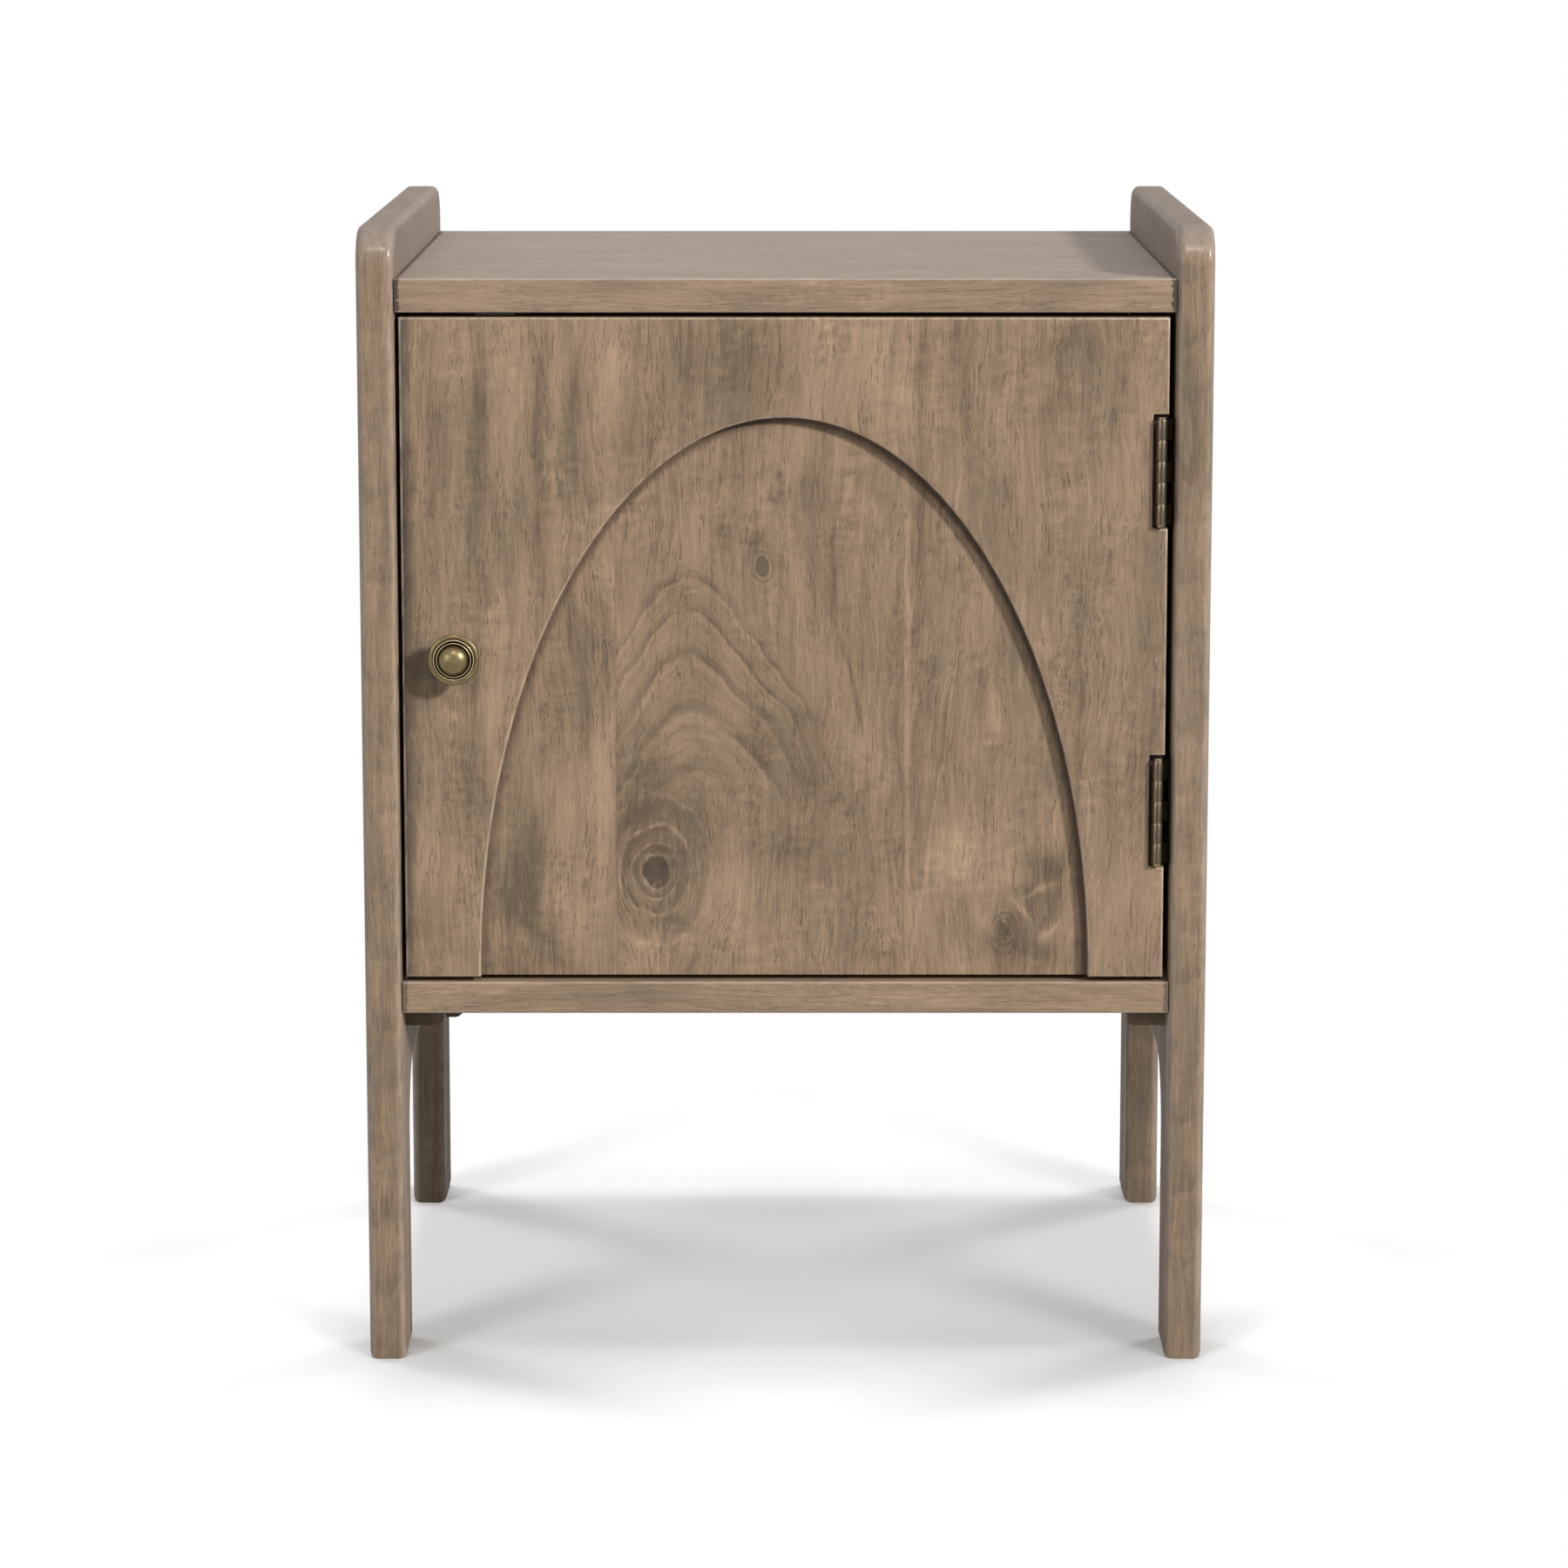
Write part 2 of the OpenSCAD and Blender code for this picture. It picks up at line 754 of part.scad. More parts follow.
module knob_screw() {
    depth = door_back - door_setback;
    slot_w = 1;
    slot_h = 1.2;
    color(steel) in_frame() at_knob() translate([0, 0, -depth]) difference() {
        union() {
            cylinder(r = knob_screw_r, h = depth + knob_screw_in);
            translate([0, 0, -knob_screw_head_t])
                cylinder(r = knob_screw_head_r, h = knob_screw_head_t);
        }
        for (turn = [0, 90])
            rotate([0, 0, turn])
                block([-knob_screw_head_r * 0.6, -slot_w / 2, -knob_screw_head_t - past],
                      [knob_screw_head_r * 0.6, slot_w / 2, slot_h - knob_screw_head_t]);
    }
}

// Magnetic catch under the top board, and the steel plate on the door that it holds

module magnet_pocket(gap) {
    block([catch_x - catch_w / 2 + catch_wall - gap, catch_y - past * (gap > 0 ? 1 : 0),
           top_under_z - catch_h + catch_wall - gap],
          [catch_x + catch_w / 2 - catch_wall + gap, catch_y + catch_d - catch_wall + gap,
           top_under_z - catch_wall + gap]);
}

module catch_body() {
    color(plastic) in_frame() difference() {
        union() {
            block([catch_x - catch_w / 2, catch_y, top_under_z - catch_h],
                  [catch_x + catch_w / 2, catch_y + catch_d, top_under_z]);
            block([catch_x - catch_w / 2 - catch_ear_w, catch_y, top_under_z - catch_ear_t],
                  [catch_x + catch_w / 2 + catch_ear_w, catch_y + catch_d, top_under_z]);
        }
        magnet_pocket(fit_gap);
        catch_screw_places() flat_screw_hole(small_screw_r, small_screw_len);
    }
}

module catch_magnet() {
    color(steel) in_frame() magnet_pocket(0);
}

module catch_screws() {
    color(steel) in_frame() catch_screw_places() flat_screw(small_screw_r, small_screw_len);
}

module strike_plate() {
    color(steel) in_frame() difference() {
        block([catch_x - catch_w / 2, door_back, strike_z - strike_h / 2],
              [catch_x + catch_w / 2, door_back + strike_t, strike_z + strike_h / 2]);
        strike_screw_place() flat_screw_hole(small_screw_r, small_screw_len);
    }
}

module strike_screw() {
    color(steel) in_frame() strike_screw_place() flat_screw(small_screw_r, small_screw_len);
}

side_panel_left();
side_panel_right();
top_board();
bottom_board();
back_panel();
shelf();
shelf_pins();
batten_left();
batten_right();
packing_strip_left();
top_dowels();
bottom_dowels();
batten_screws();
back_panel_screws();
catch_body();
catch_magnet();
catch_screws();
hinge_upper_frame_leaf();
hinge_lower_frame_leaf();
hinge_upper_pin();
hinge_lower_pin();
frame_leaf_screws();
door_board_left();
door_board_middle();
door_board_right();
door_arch_frame();
hinge_upper_door_leaf();
hinge_lower_door_leaf();
door_leaf_screws();
knob();
knob_screw();
strike_plate();
strike_screw();
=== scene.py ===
"""The looks of a nightstand with one arched door: its finishes, its eased edges and the light on it."""

import math

import bpy
import numpy as np
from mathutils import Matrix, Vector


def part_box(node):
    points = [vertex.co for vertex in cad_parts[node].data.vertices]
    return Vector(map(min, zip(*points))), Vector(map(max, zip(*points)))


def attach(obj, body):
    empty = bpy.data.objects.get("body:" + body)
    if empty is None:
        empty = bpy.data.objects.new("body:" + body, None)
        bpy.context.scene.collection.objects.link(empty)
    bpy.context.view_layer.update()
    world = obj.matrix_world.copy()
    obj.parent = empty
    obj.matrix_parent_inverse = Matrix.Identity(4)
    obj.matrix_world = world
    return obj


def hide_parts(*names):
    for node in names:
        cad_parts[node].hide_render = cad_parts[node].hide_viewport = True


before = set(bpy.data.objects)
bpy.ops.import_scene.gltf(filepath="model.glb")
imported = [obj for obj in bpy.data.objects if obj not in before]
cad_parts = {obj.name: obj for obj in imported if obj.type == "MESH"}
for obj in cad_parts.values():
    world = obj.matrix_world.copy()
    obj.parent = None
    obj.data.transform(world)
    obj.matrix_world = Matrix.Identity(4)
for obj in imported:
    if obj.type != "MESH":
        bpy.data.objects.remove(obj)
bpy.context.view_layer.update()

# Camera
# A long lens in front of the case and a little above its top, tipped down so that the top board shows.
# The picture's middle lies below the lens's axis, which is what the small shift is for.
PICTURE_SIDE = 1800
FOCAL_PIXELS = 5751.4
AXIS_ABOVE_MIDDLE = 90
SENSOR_WIDTH = 36
CAMERA_DISTANCE = 3.2541
CAMERA_HEIGHT = 0.9843
CAMERA_LEFT = 0.0009
CAMERA_TILT = 0.1641

scene = bpy.context.scene
panel_low, panel_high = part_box("side_panel_left")
front_y = panel_low.y
rear_y = panel_high.y

camera_data = bpy.data.cameras.new("camera")
camera_data.sensor_width = SENSOR_WIDTH
camera_data.lens = FOCAL_PIXELS * SENSOR_WIDTH / PICTURE_SIDE
camera_data.shift_y = -AXIS_ABOVE_MIDDLE / PICTURE_SIDE
camera = bpy.data.objects.new("camera", camera_data)
camera.location = (-CAMERA_LEFT, front_y - CAMERA_DISTANCE, CAMERA_HEIGHT)
camera.rotation_euler = (math.pi / 2 - CAMERA_TILT, 0, 0)
scene.collection.objects.link(camera)
scene.camera = camera
scene.view_settings.view_transform = "Standard"

# Floor, backdrop and lamps
# A sheet of paper to stand on, in an even white room. The main lamp is low on the right, and weaker ones are
# on the left, above the viewer and behind. The one behind gives no glints. The paper has lamps of its own:
# overhead, off each corner, and a small one under the case that lightens the middle of its shadow.
WHITE = (1, 1, 1, 1)
FLOOR_SIDE = 60
FLOOR_TONE = 0.8
FLOOR_BOUNCE = 0.16
GLOW_REACH = (0.38, 0.7)
ROOM_LIGHT = 0.2
LAMPS = {
    "lamp_right": ((0.72, -0.65, 0.46), 2.92, 7, False),
    "lamp_left": ((-0.6, -0.75, 0.25), 0.5, 20, False),
    "lamp_front": ((0.0, -0.7, 0.72), 0.62, 9, False),
    "lamp_back": ((-0.25, 0.95, 0.2), 1.2, 25, False),
    "lamp_above_front": ((0.0, -0.1, 1.0), 0.46, 9, True),
    "lamp_above": ((0.0, 0.05, 1.0), 0.58, 9, True),
    "lamp_above_rear": ((0.0, 0.15, 1.0), 0.66, 9, True),
    "lamp_front_left": ((-0.61, -0.79, 0.24), 2.25, 22, True),
    "lamp_front_right": ((0.61, -0.79, 0.24), 2.25, 22, True),
    "lamp_rear_left": ((-0.77, 0.64, 0.24), 2.25, 22, True),
    "lamp_rear_right": ((0.77, 0.64, 0.24), 2.25, 22, True),
}
LAMP_WITHOUT_GLINTS = "lamp_back"
UNDER_PLACE = (0.0, 0.04, 0.2)
UNDER_STRENGTH = 0.3
UNDER_RADIUS = 0.03


def put(tree, kind, sockets=(), **settings):
    """Adds one shader node. Its inputs, by name or place, are values or other nodes' outputs."""
    node = tree.nodes.new("ShaderNode" + kind)
    for key, value in settings.items():
        setattr(node, key, value)
    for key, value in dict(sockets).items():
        if isinstance(value, bpy.types.NodeSocket):
            tree.links.new(value, node.inputs[key])
        else:
            node.inputs[key].default_value = value
    return node


def maths(tree, operation, *values, clamp=False):
    """A Math node's result. A sum or product of more than two values is made in steps."""
    if operation in ("ADD", "MULTIPLY") and len(values) > 2:
        values = (maths(tree, operation, *values[:-1]), values[-1])
    return put(tree, "Math", enumerate(values), operation=operation, use_clamp=clamp).outputs[0]


def times(tree, *values, clamp=False):
    """The product of the values."""
    return maths(tree, "MULTIPLY", *values, clamp=clamp)


def minus(tree, first, second):
    """The first value less the second."""
    return maths(tree, "SUBTRACT", first, second)


def measure(tree, operation, *values):
    """A Vector Math node's number."""
    return put(tree, "VectorMath", enumerate(values), operation=operation).outputs["Value"]


def ramp(tree, value, low, high, to_low=0.0, to_high=1.0):
    """A smooth step from to_low at low to to_high at high."""
    sockets = {"Value": value, "From Min": low, "From Max": high, "To Min": to_low, "To Max": to_high}
    return put(tree, "MapRange", sockets, interpolation_type="SMOOTHSTEP").outputs[0]


def object_place(tree):
    """A point's place in its piece's own coordinates, in metres."""
    return put(tree, "TexCoord").outputs["Object"]


def seen_directly(tree):
    """1 for a ray from the camera, or one that a mirror or glass sends on, and 0 for any other."""
    path = put(tree, "LightPath").outputs
    straight = maths(tree, "MAXIMUM", path["Is Camera Ray"], path["Is Glossy Ray"])
    return maths(tree, "MAXIMUM", straight, path["Is Transmission Ray"])


def mix_shaders(tree, share, first, second):
    """Two shaders mixed, with this share of the second."""
    return put(tree, "MixShader", {0: share, 1: first.outputs[0], 2: second.outputs[0]})


def empty_material(name):
    """A material and its tree, without any nodes."""
    material = bpy.data.materials.new(name)
    material.use_nodes = True
    material.node_tree.nodes.clear()
    return material, material.node_tree


def white_room():
    """A white background that lights the object less than it shows."""
    world = bpy.data.worlds.new("room")
    world.use_nodes = True
    tree = world.node_tree
    tree.nodes.clear()
    light = put(tree, "Background", {"Color": WHITE, "Strength": ROOM_LIGHT})
    shown = put(tree, "Background", {"Color": WHITE, "Strength": 1.0})
    both = mix_shaders(tree, seen_directly(tree), light, shown)
    put(tree, "OutputWorld", {"Surface": both.outputs[0]})
    scene.world = world


def floor_paper():
    """Matt paper, shown with a share of plain white that grows with the distance from the object. It throws
    less light back on the object than it shows, and from beneath it is clear, to show the underside."""
    material, tree = empty_material("floor_paper")
    seen = seen_directly(tree)
    tone = maths(tree, "MULTIPLY_ADD", seen, FLOOR_TONE - FLOOR_BOUNCE, FLOOR_BOUNCE)
    matt = put(tree, "BsdfDiffuse", {"Color": tone})
    glow = put(tree, "Emission", {"Color": WHITE, "Strength": 1.0})
    distance = measure(tree, "LENGTH", object_place(tree))
    both = mix_shaders(tree, times(tree, seen, ramp(tree, distance, *GLOW_REACH)), matt, glow)
    beneath = times(tree, put(tree, "NewGeometry").outputs["Backfacing"], seen)
    paper = mix_shaders(tree, beneath, both, put(tree, "BsdfTransparent"))
    put(tree, "OutputMaterial", {"Surface": paper.outputs[0]})
    return material


white_room()
floor_mesh = bpy.data.meshes.new("floor")
half = FLOOR_SIDE / 2
corners = [(-half, -half, 0), (half, -half, 0), (half, half, 0), (-half, half, 0)]
floor_mesh.from_pydata(corners, [], [(0, 1, 2, 3)])
floor_mesh.materials.append(floor_paper())
floor = bpy.data.objects.new("floor", floor_mesh)
scene.collection.objects.link(floor)

paper_only = bpy.data.collections.new("paper_only")
all_but_paper = bpy.data.collections.new("all_but_paper")
for collection, state in ((paper_only, "INCLUDE"), (all_but_paper, "EXCLUDE")):
    collection.objects.link(floor)
    collection.collection_objects[0].light_linking.link_state = state


def hang_lamp(name, kind, strength, for_paper):
    """A lamp that lights either the paper alone or all but the paper: the light and its holder."""
    light = bpy.data.lights.new(name, kind)
    light.energy = strength
    holder = bpy.data.objects.new(name, light)
    holder.light_linking.receiver_collection = paper_only if for_paper else all_but_paper
    scene.collection.objects.link(holder)
    return light, holder


for lamp_name, (towards, strength, spread, for_paper) in LAMPS.items():
    lamp, holder = hang_lamp(lamp_name, "SUN", strength, for_paper)
    lamp.angle = math.radians(spread)
    direction = np.array(towards) / np.linalg.norm(towards)
    holder.rotation_euler = (math.acos(direction[2]), 0, math.atan2(direction[1], direction[0]) + math.pi / 2)
    holder.visible_glossy = lamp_name != LAMP_WITHOUT_GLINTS

lamp, holder = hang_lamp("lamp_under", "POINT", UNDER_STRENGTH, True)
lamp.shadow_soft_size = UNDER_RADIUS
holder.location = UNDER_PLACE
holder.visible_camera = False

# Side panels
# Two slabs of mango wood, stained a weathered taupe and lacquered matt. Each is sawn out below into two legs
# and takes the boards' dowels in its inner face. Its edges are eased by hand, and its rounded top corners are
# polished by use. Above the top board, the gallery's faces that look up or inwards are greyed by painted
# sheen and painted shade, and painted shade darkens the rear legs.
PANEL_CORNER = 0.025
PANEL_EASE = 0.0055
LEG_DEPTH = 0.055
LEG_GAP_HEIGHT = 0.19
LEG_GAP_CORNER = 0.045
ARC_STEPS = 12
EASE_STEPS = 6
EASE_MARGIN = 0.004
SHARP_CORNER = 32
IN_Y_Z = (1, 2, 0)
IN_X_Y = (0, 1, 2)
IN_X_Z = (0, 2, 1)

DARK_WOOD = (0.138, 0.097, 0.06, 1)
LIGHT_WOOD = (0.428, 0.287, 0.181, 1)
MINERAL = (0.184, 0.142, 0.094, 1)
KNOT_BROWN = (0.06, 0.04, 0.028, 1)
PORE = (0.078, 0.055, 0.037, 1)
FLECK = (0.52, 0.385, 0.262, 1)
# Pale edge colour: rubbed wear and painted highlight along the edges
EDGE_WEAR_AND_HIGHLIGHT = (0.48, 0.362, 0.262, 1)
PLAIN_TONE = 0.53
LIGHTEST_TONE = 1.25
POLISH = 0.85
POLISH_ROUGHNESS = 0.25
GRAIN_DEPTH = 0.0003
GRAIN_STRENGTH = 0.6

UPRIGHT_SIDE = (0, 0, -math.pi / 2)
CROWN_WEAR = 0.75
CROWN_SPARED = 0.85
# Painted sheen and painted shade that grey the gallery's faces that look up or inwards
GALLERY_PAINTED_SHEEN_AND_SHADE = (0.225, 0.182, 0.153, 1)
GALLERY_SHEEN_AND_SHADE_SHARE = 0.68
GALLERY_FADE = 0.001
PANEL_RINGS = {"Left": 0.12, "Right": 0.1, "Gap": 34.0, "Growth": 1.015}
PANEL_LINES = 0.16
PANEL_TONES = (-0.3, -0.13)
# Painted shade on the rear legs, under the case
REAR_LEG_PAINTED_SHADE = 0.24
APEX_ROUNDING = 60.0


def arc(centre, radius, start, end):
    """Points round a centre from one angle to another, in degrees: centre + radius * (cos, sin)."""
    angles = np.radians(np.linspace(start, end, ARC_STEPS + 1))
    return np.stack([centre[0] + radius * np.cos(angles), centre[1] + radius * np.sin(angles)], 1)


def mitres(outline):
    """Inward step at each corner of an anticlockwise outline: the sum of the inward normals of its two edges,
    divided by one plus their dot product, so that both edges move in by the same amount."""
    edges = np.roll(outline, -1, 0) - outline
    edges /= np.linalg.norm(edges, axis=1, keepdims=True)
    after = np.stack([-edges[:, 1], edges[:, 0]], 1)
    before = np.roll(after, 1, 0)
    return (before + after) / (1 + (before * after).sum(1, keepdims=True))


def quarter_round(ease, margin):
    """Rows of inset, depth and wear from a face to a wall: the inset is ease * (1 - sin a), the depth is
    ease * (1 - cos a) and the wear is sin 2a, with a from 0 to 90 degrees."""
    if ease == 0:
        return np.array([(0, 0, 0)], float)
    a = np.linspace(0, math.pi / 2, EASE_STEPS + 1)
    rows = np.stack([ease * (1 - np.sin(a)), ease * (1 - np.cos(a)), np.sin(2 * a)], 1)
    return np.vstack([(ease + EASE_MARGIN, 0, 0), rows, (0, ease + margin, 0)])


def finish_mesh(name, points, faces, wear, body, material):
    """Makes the piece: smooth, apart from its sharp corners, with its wear as an attribute."""
    mesh = bpy.data.meshes.new(name)
    mesh.from_pydata(points, [], faces)
    mesh.polygons.foreach_set("use_smooth", [True] * len(mesh.polygons))
    mesh.set_sharp_from_angle(angle=math.radians(SHARP_CORNER))
    mesh.attributes.new("wear", "FLOAT", "POINT").data.foreach_set("value", wear.astype(np.float32))
    mesh.materials.append(material)
    piece = bpy.data.objects.new(name, mesh)
    scene.collection.objects.link(piece)
    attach(piece, body)
    return piece


def tube_faces(rows, columns):
    """Four-sided faces between each ring of points and the next, all round."""
    ring = np.arange(columns)
    following = np.roll(ring, -1)
    start = np.arange(rows - 1)[:, None] * columns
    above = start + columns
    return np.stack([start + ring, start + following, above + following, above + ring], -1).reshape(-1, 4)


def eased_slab(name, outline, low, high, eases, axes, body, slot, material, worn=0.0, edges_worn=1.0):
    """An outline in two axes, carried along the third from low to high. At each end it moves in along its
    mitres as a quarter round, and one flat face closes it. worn is each outline point's own wear, which fades
    with the inset, and edges_worn multiplies the wear of its two edges. An outline in X and Z is seen from
    the front, from where Y points away, so its faces are turned over."""
    margin = min(EASE_MARGIN, (high - low - sum(eases)) / 3)
    first = quarter_round(eases[0], margin)
    last = quarter_round(eases[1], margin)[::-1]
    inset = np.concatenate([first[:, 0], last[:, 0]])
    depth = np.concatenate([low + first[:, 1], high - last[:, 1]])
    wear = np.concatenate([first[:, 2], last[:, 2]])
    wear = np.maximum(wear[:, None] * edges_worn, (1 - inset / inset.max())[:, None] * worn)
    flat = outline + inset[:, None, None] * mitres(outline)
    rows, count = flat.shape[:2]
    points = np.empty((rows, count, 3))
    points[..., axes[0]] = flat[..., 0]
    points[..., axes[1]] = flat[..., 1]
    points[..., axes[2]] = depth[:, None]
    faces = tube_faces(rows, count).tolist()
    faces.append(list(range(count))[::-1])
    faces.append(list(range((rows - 1) * count, rows * count)))
    if axes == IN_X_Z:
        faces = [face[::-1] for face in faces]
    wear = np.broadcast_to(wear, (rows, count)).ravel()
    return finish_mesh(name, points.reshape(-1, 3), faces, wear, body, material)


def panel_outline():
    """A side panel from its side, in Y and Z: from the front foot through the gap between the legs to the
    rear foot, then up and over the top."""
    gap_front = front_y + LEG_DEPTH + LEG_GAP_CORNER
    gap_rear = rear_y - LEG_DEPTH - LEG_GAP_CORNER
    gap_z = LEG_GAP_HEIGHT - LEG_GAP_CORNER
    crown_z = panel_high.z - PANEL_CORNER
    return np.vstack([
        (front_y, 0),
        (front_y + LEG_DEPTH, 0),
        arc((gap_front, gap_z), LEG_GAP_CORNER, 180, 90),
        arc((gap_rear, gap_z), LEG_GAP_CORNER, 90, 0),
        (rear_y - LEG_DEPTH, 0),
        (rear_y, 0),
        arc((rear_y - PANEL_CORNER, crown_z), PANEL_CORNER, 0, 90),
        arc((front_y + PANEL_CORNER, crown_z), PANEL_CORNER, 90, 180),
    ])


def crown_wear(outline):
    """Wear of the two rounded top corners, and what is left of the edges' own wear. up grows from 0 at a
    corner's foot to 1 along the top, and outer falls from 1 on the front and rear to 0 along the top. At an
    angle a round a corner, twice their product is sin 2a. Along the top, where the edges are spared,
    up * (1 - outer) is 1."""
    up = np.clip((outline[:, 1] - panel_high.z) / PANEL_CORNER + 1, 0, 1)
    forward = (front_y - outline[:, 0]) / PANEL_CORNER + 1
    back = (outline[:, 0] - rear_y) / PANEL_CORNER + 1
    outer = np.clip(np.maximum(forward, back), 0, 1)
    return CROWN_WEAR * 2 * up * outer, 1 - CROWN_SPARED * up * (1 - outer)


def vectors(tree, operation, *values):
    """A Vector Math node's vector."""
    return put(tree, "VectorMath", enumerate(values), operation=operation).outputs[0]


def apart(tree, vector):
    """A vector's X, Y and Z."""
    return put(tree, "SeparateXYZ", {0: vector}).outputs


def noise(tree, vector, sizes, detail=2.0, roughness=0.5, output="Fac"):
    """Cloudy noise whose blots are about sizes across, in the vector's own unit: its value, or its colour."""
    scaled = vectors(tree, "DIVIDE", vector, sizes)
    sockets = {"Vector": scaled, "Scale": 1.0, "Detail": detail, "Roughness": roughness}
    return put(tree, "TexNoise", sockets).outputs[output]


def wander(tree, vector, sizes, reach):
    """The vector moved about by cloudy noise, by up to half of reach each way."""
    step = vectors(tree, "SUBTRACT", noise(tree, vector, sizes, output="Color"), (0.5, 0.5, 0.5))
    return vectors(tree, "ADD", vector, vectors(tree, "MULTIPLY", step, reach))


def swings(tree, *pairs):
    """Noises, each with its weight, added up and centred on zero."""
    total = -sum(weight for value, weight in pairs) / 2
    for value, weight in pairs:
        total = maths(tree, "MULTIPLY_ADD", value, weight, total)
    return total


def band(tree, value, rise, fall, strength=1.0):
    """A strength that comes in over one range of a value and goes out over another."""
    return times(tree, ramp(tree, value, *rise), ramp(tree, value, *fall, strength, 0.0))


def blend_colours(tree, factor, first, second, clamp=True):
    """Two colours mixed by a factor."""
    sockets = {0: factor, 6: first, 7: second}
    return put(tree, "Mix", sockets, data_type="RGBA", clamp_factor=clamp).outputs[2]


def new_group(name, inputs, outputs):
    """An empty node group with named sockets: the tree, its input sockets and its output node."""
    tree = bpy.data.node_groups.new(name, "ShaderNodeTree")
    for side, sockets in (("INPUT", inputs), ("OUTPUT", outputs)):
        for socket_name, kind in sockets.items():
            tree.interface.new_socket(socket_name, in_out=side, socket_type="NodeSocket" + kind)
    return tree, tree.nodes.new("NodeGroupInput").outputs, tree.nodes.new("NodeGroupOutput")


def give(tree, result, **outputs):
    """Links values to the sockets of a group's output node."""
    for socket_name, value in outputs.items():
        tree.links.new(value, result.inputs[socket_name])


def timber_group():
    """Stained mango wood in board space, in millimetres: X across the grain, Y through, Z along it. Its tone,
    from dark to light wood, is the sum of wandering streaks of three widths, clouds and a curl across the
    grain. Below zero it goes on to a knot's brown. Grey stripes, dark pores and pale flecks lie over it."""
    inputs = {"Vector": "Vector", "Tone": "Float", "Streaks": "Float", "Pores": "Float", "Ripple": "Float"}
    outputs = {"Color": "Color", "Roughness": "Float", "Height": "Float"}
    tree, given, result = new_group("stained_timber", inputs, outputs)
    place = given["Vector"]
    bent = wander(tree, wander(tree, place, (80, 80, 200), (34, 34, 0)), (14, 14, 40), (4, 4, 0))
    broad = noise(tree, bent, (17, 17, 150))
    middle = noise(tree, bent, (4.5, 4.5, 70))
    fibres = noise(tree, bent, (1.2, 1.2, 32), 2.0, 0.6)
    streaks = times(tree, swings(tree, (broad, 0.6), (middle, 0.8), (fibres, 1.1)), given["Streaks"])
    clouds = swings(tree, (noise(tree, place, (55, 55, 90)), 0.8))
    curl = swings(tree, (noise(tree, bent, (13, 13, 6)), 1.0), (noise(tree, bent, (5, 5, 2.2)), 0.35))
    curl_place = ramp(tree, noise(tree, place, (34, 34, 60)), 0.42, 0.62, 0.15, 1.0)
    curl = times(tree, curl, curl_place, given["Ripple"])
    tone = maths(tree, "ADD", streaks, clouds, given["Tone"], curl, PLAIN_TONE)
    light = maths(tree, "MAXIMUM", maths(tree, "MINIMUM", tone, LIGHTEST_TONE), 0.0)
    ground = blend_colours(tree, light, DARK_WOOD, LIGHT_WOOD, clamp=False)
    stripes = ramp(tree, noise(tree, bent, (26, 26, 120)), 0.44, 0.66, 0.0, 0.5)
    stripes = times(tree, stripes, minus(tree, 1.0, light), clamp=True)
    ground = blend_colours(tree, stripes, ground, MINERAL)
    ground = blend_colours(tree, times(tree, tone, -1.0, clamp=True), ground, KNOT_BROWN)
    short = noise(tree, bent, (0.75, 0.75, 7), 1.0, 0.4)
    long = noise(tree, bent, (0.85, 0.85, 24), 1.0, 0.4)
    edge = ramp(tree, noise(tree, bent, (10, 10, 60), 3.0), 0.36, 0.66, 0.7, 0.57)
    short = ramp(tree, minus(tree, short, edge), 0.0, 0.12, 0.0, 0.62)
    long = ramp(tree, minus(tree, long, edge), -0.03, 0.13, 0.0, 0.55)
    pores = times(tree, maths(tree, "MAXIMUM", short, long), given["Pores"], clamp=True)
    ground = blend_colours(tree, pores, ground, PORE)
    pale = ramp(tree, noise(tree, bent, (0.9, 0.9, 10), 1.0, 0.4), 0.6, 0.78, 0.0, 0.22)
    ground = blend_colours(tree, pale, ground, FLECK)
    rough = maths(tree, "ADD", times(tree, pores, 0.2), ramp(tree, tone, 0, 1, 0.72, 0.62))
    height = minus(tree, times(tree, fibres, 0.6), pores)
    give(tree, result, Color=ground, Roughness=rough, Height=height)
    return tree


def wear_here(tree):
    """The piece's own wear attribute."""
    return put(tree, "Attribute", attribute_name="wear").outputs["Fac"]


def edge_wear_and_highlight_group():
    """Edge wear and painted highlight: where the piece's wear is high, broken up by noise, the stain turns
    pale, which stands for both rubbed wear and the highlight along the edge. Hands have polished the edge as
    well."""
    inputs = {"Vector": "Vector", "Color": "Color", "Amount": "Float"}
    tree, given, result = new_group("edge_wear_and_highlight", inputs, {"Color": "Color", "Polish": "Float"})
    wear = wear_here(tree)
    broken = ramp(tree, noise(tree, given["Vector"], (5, 5, 22), 3.0), 0.35, 0.62, 0.15, 1.0)
    amount = times(tree, wear, broken, given["Amount"], clamp=True)
    colour = blend_colours(tree, amount, given["Color"], EDGE_WEAR_AND_HIGHLIGHT)
    give(tree, result, Color=colour, Polish=times(tree, wear, POLISH))
    return tree


def place_group(tree, group, **sockets):
    """Places a group in a tree with these inputs, and gives its outputs."""
    return put(tree, "Group", sockets, node_tree=group).outputs


def board_space(tree, turn, start):
    """A point's place in millimetres, turned so that Z runs along the grain, from the board's own start."""
    sockets = {"Vector": object_place(tree), "Location": start, "Rotation": turn, "Scale": (1000, 1000, 1000)}
    return put(tree, "Mapping", sockets).outputs[0]


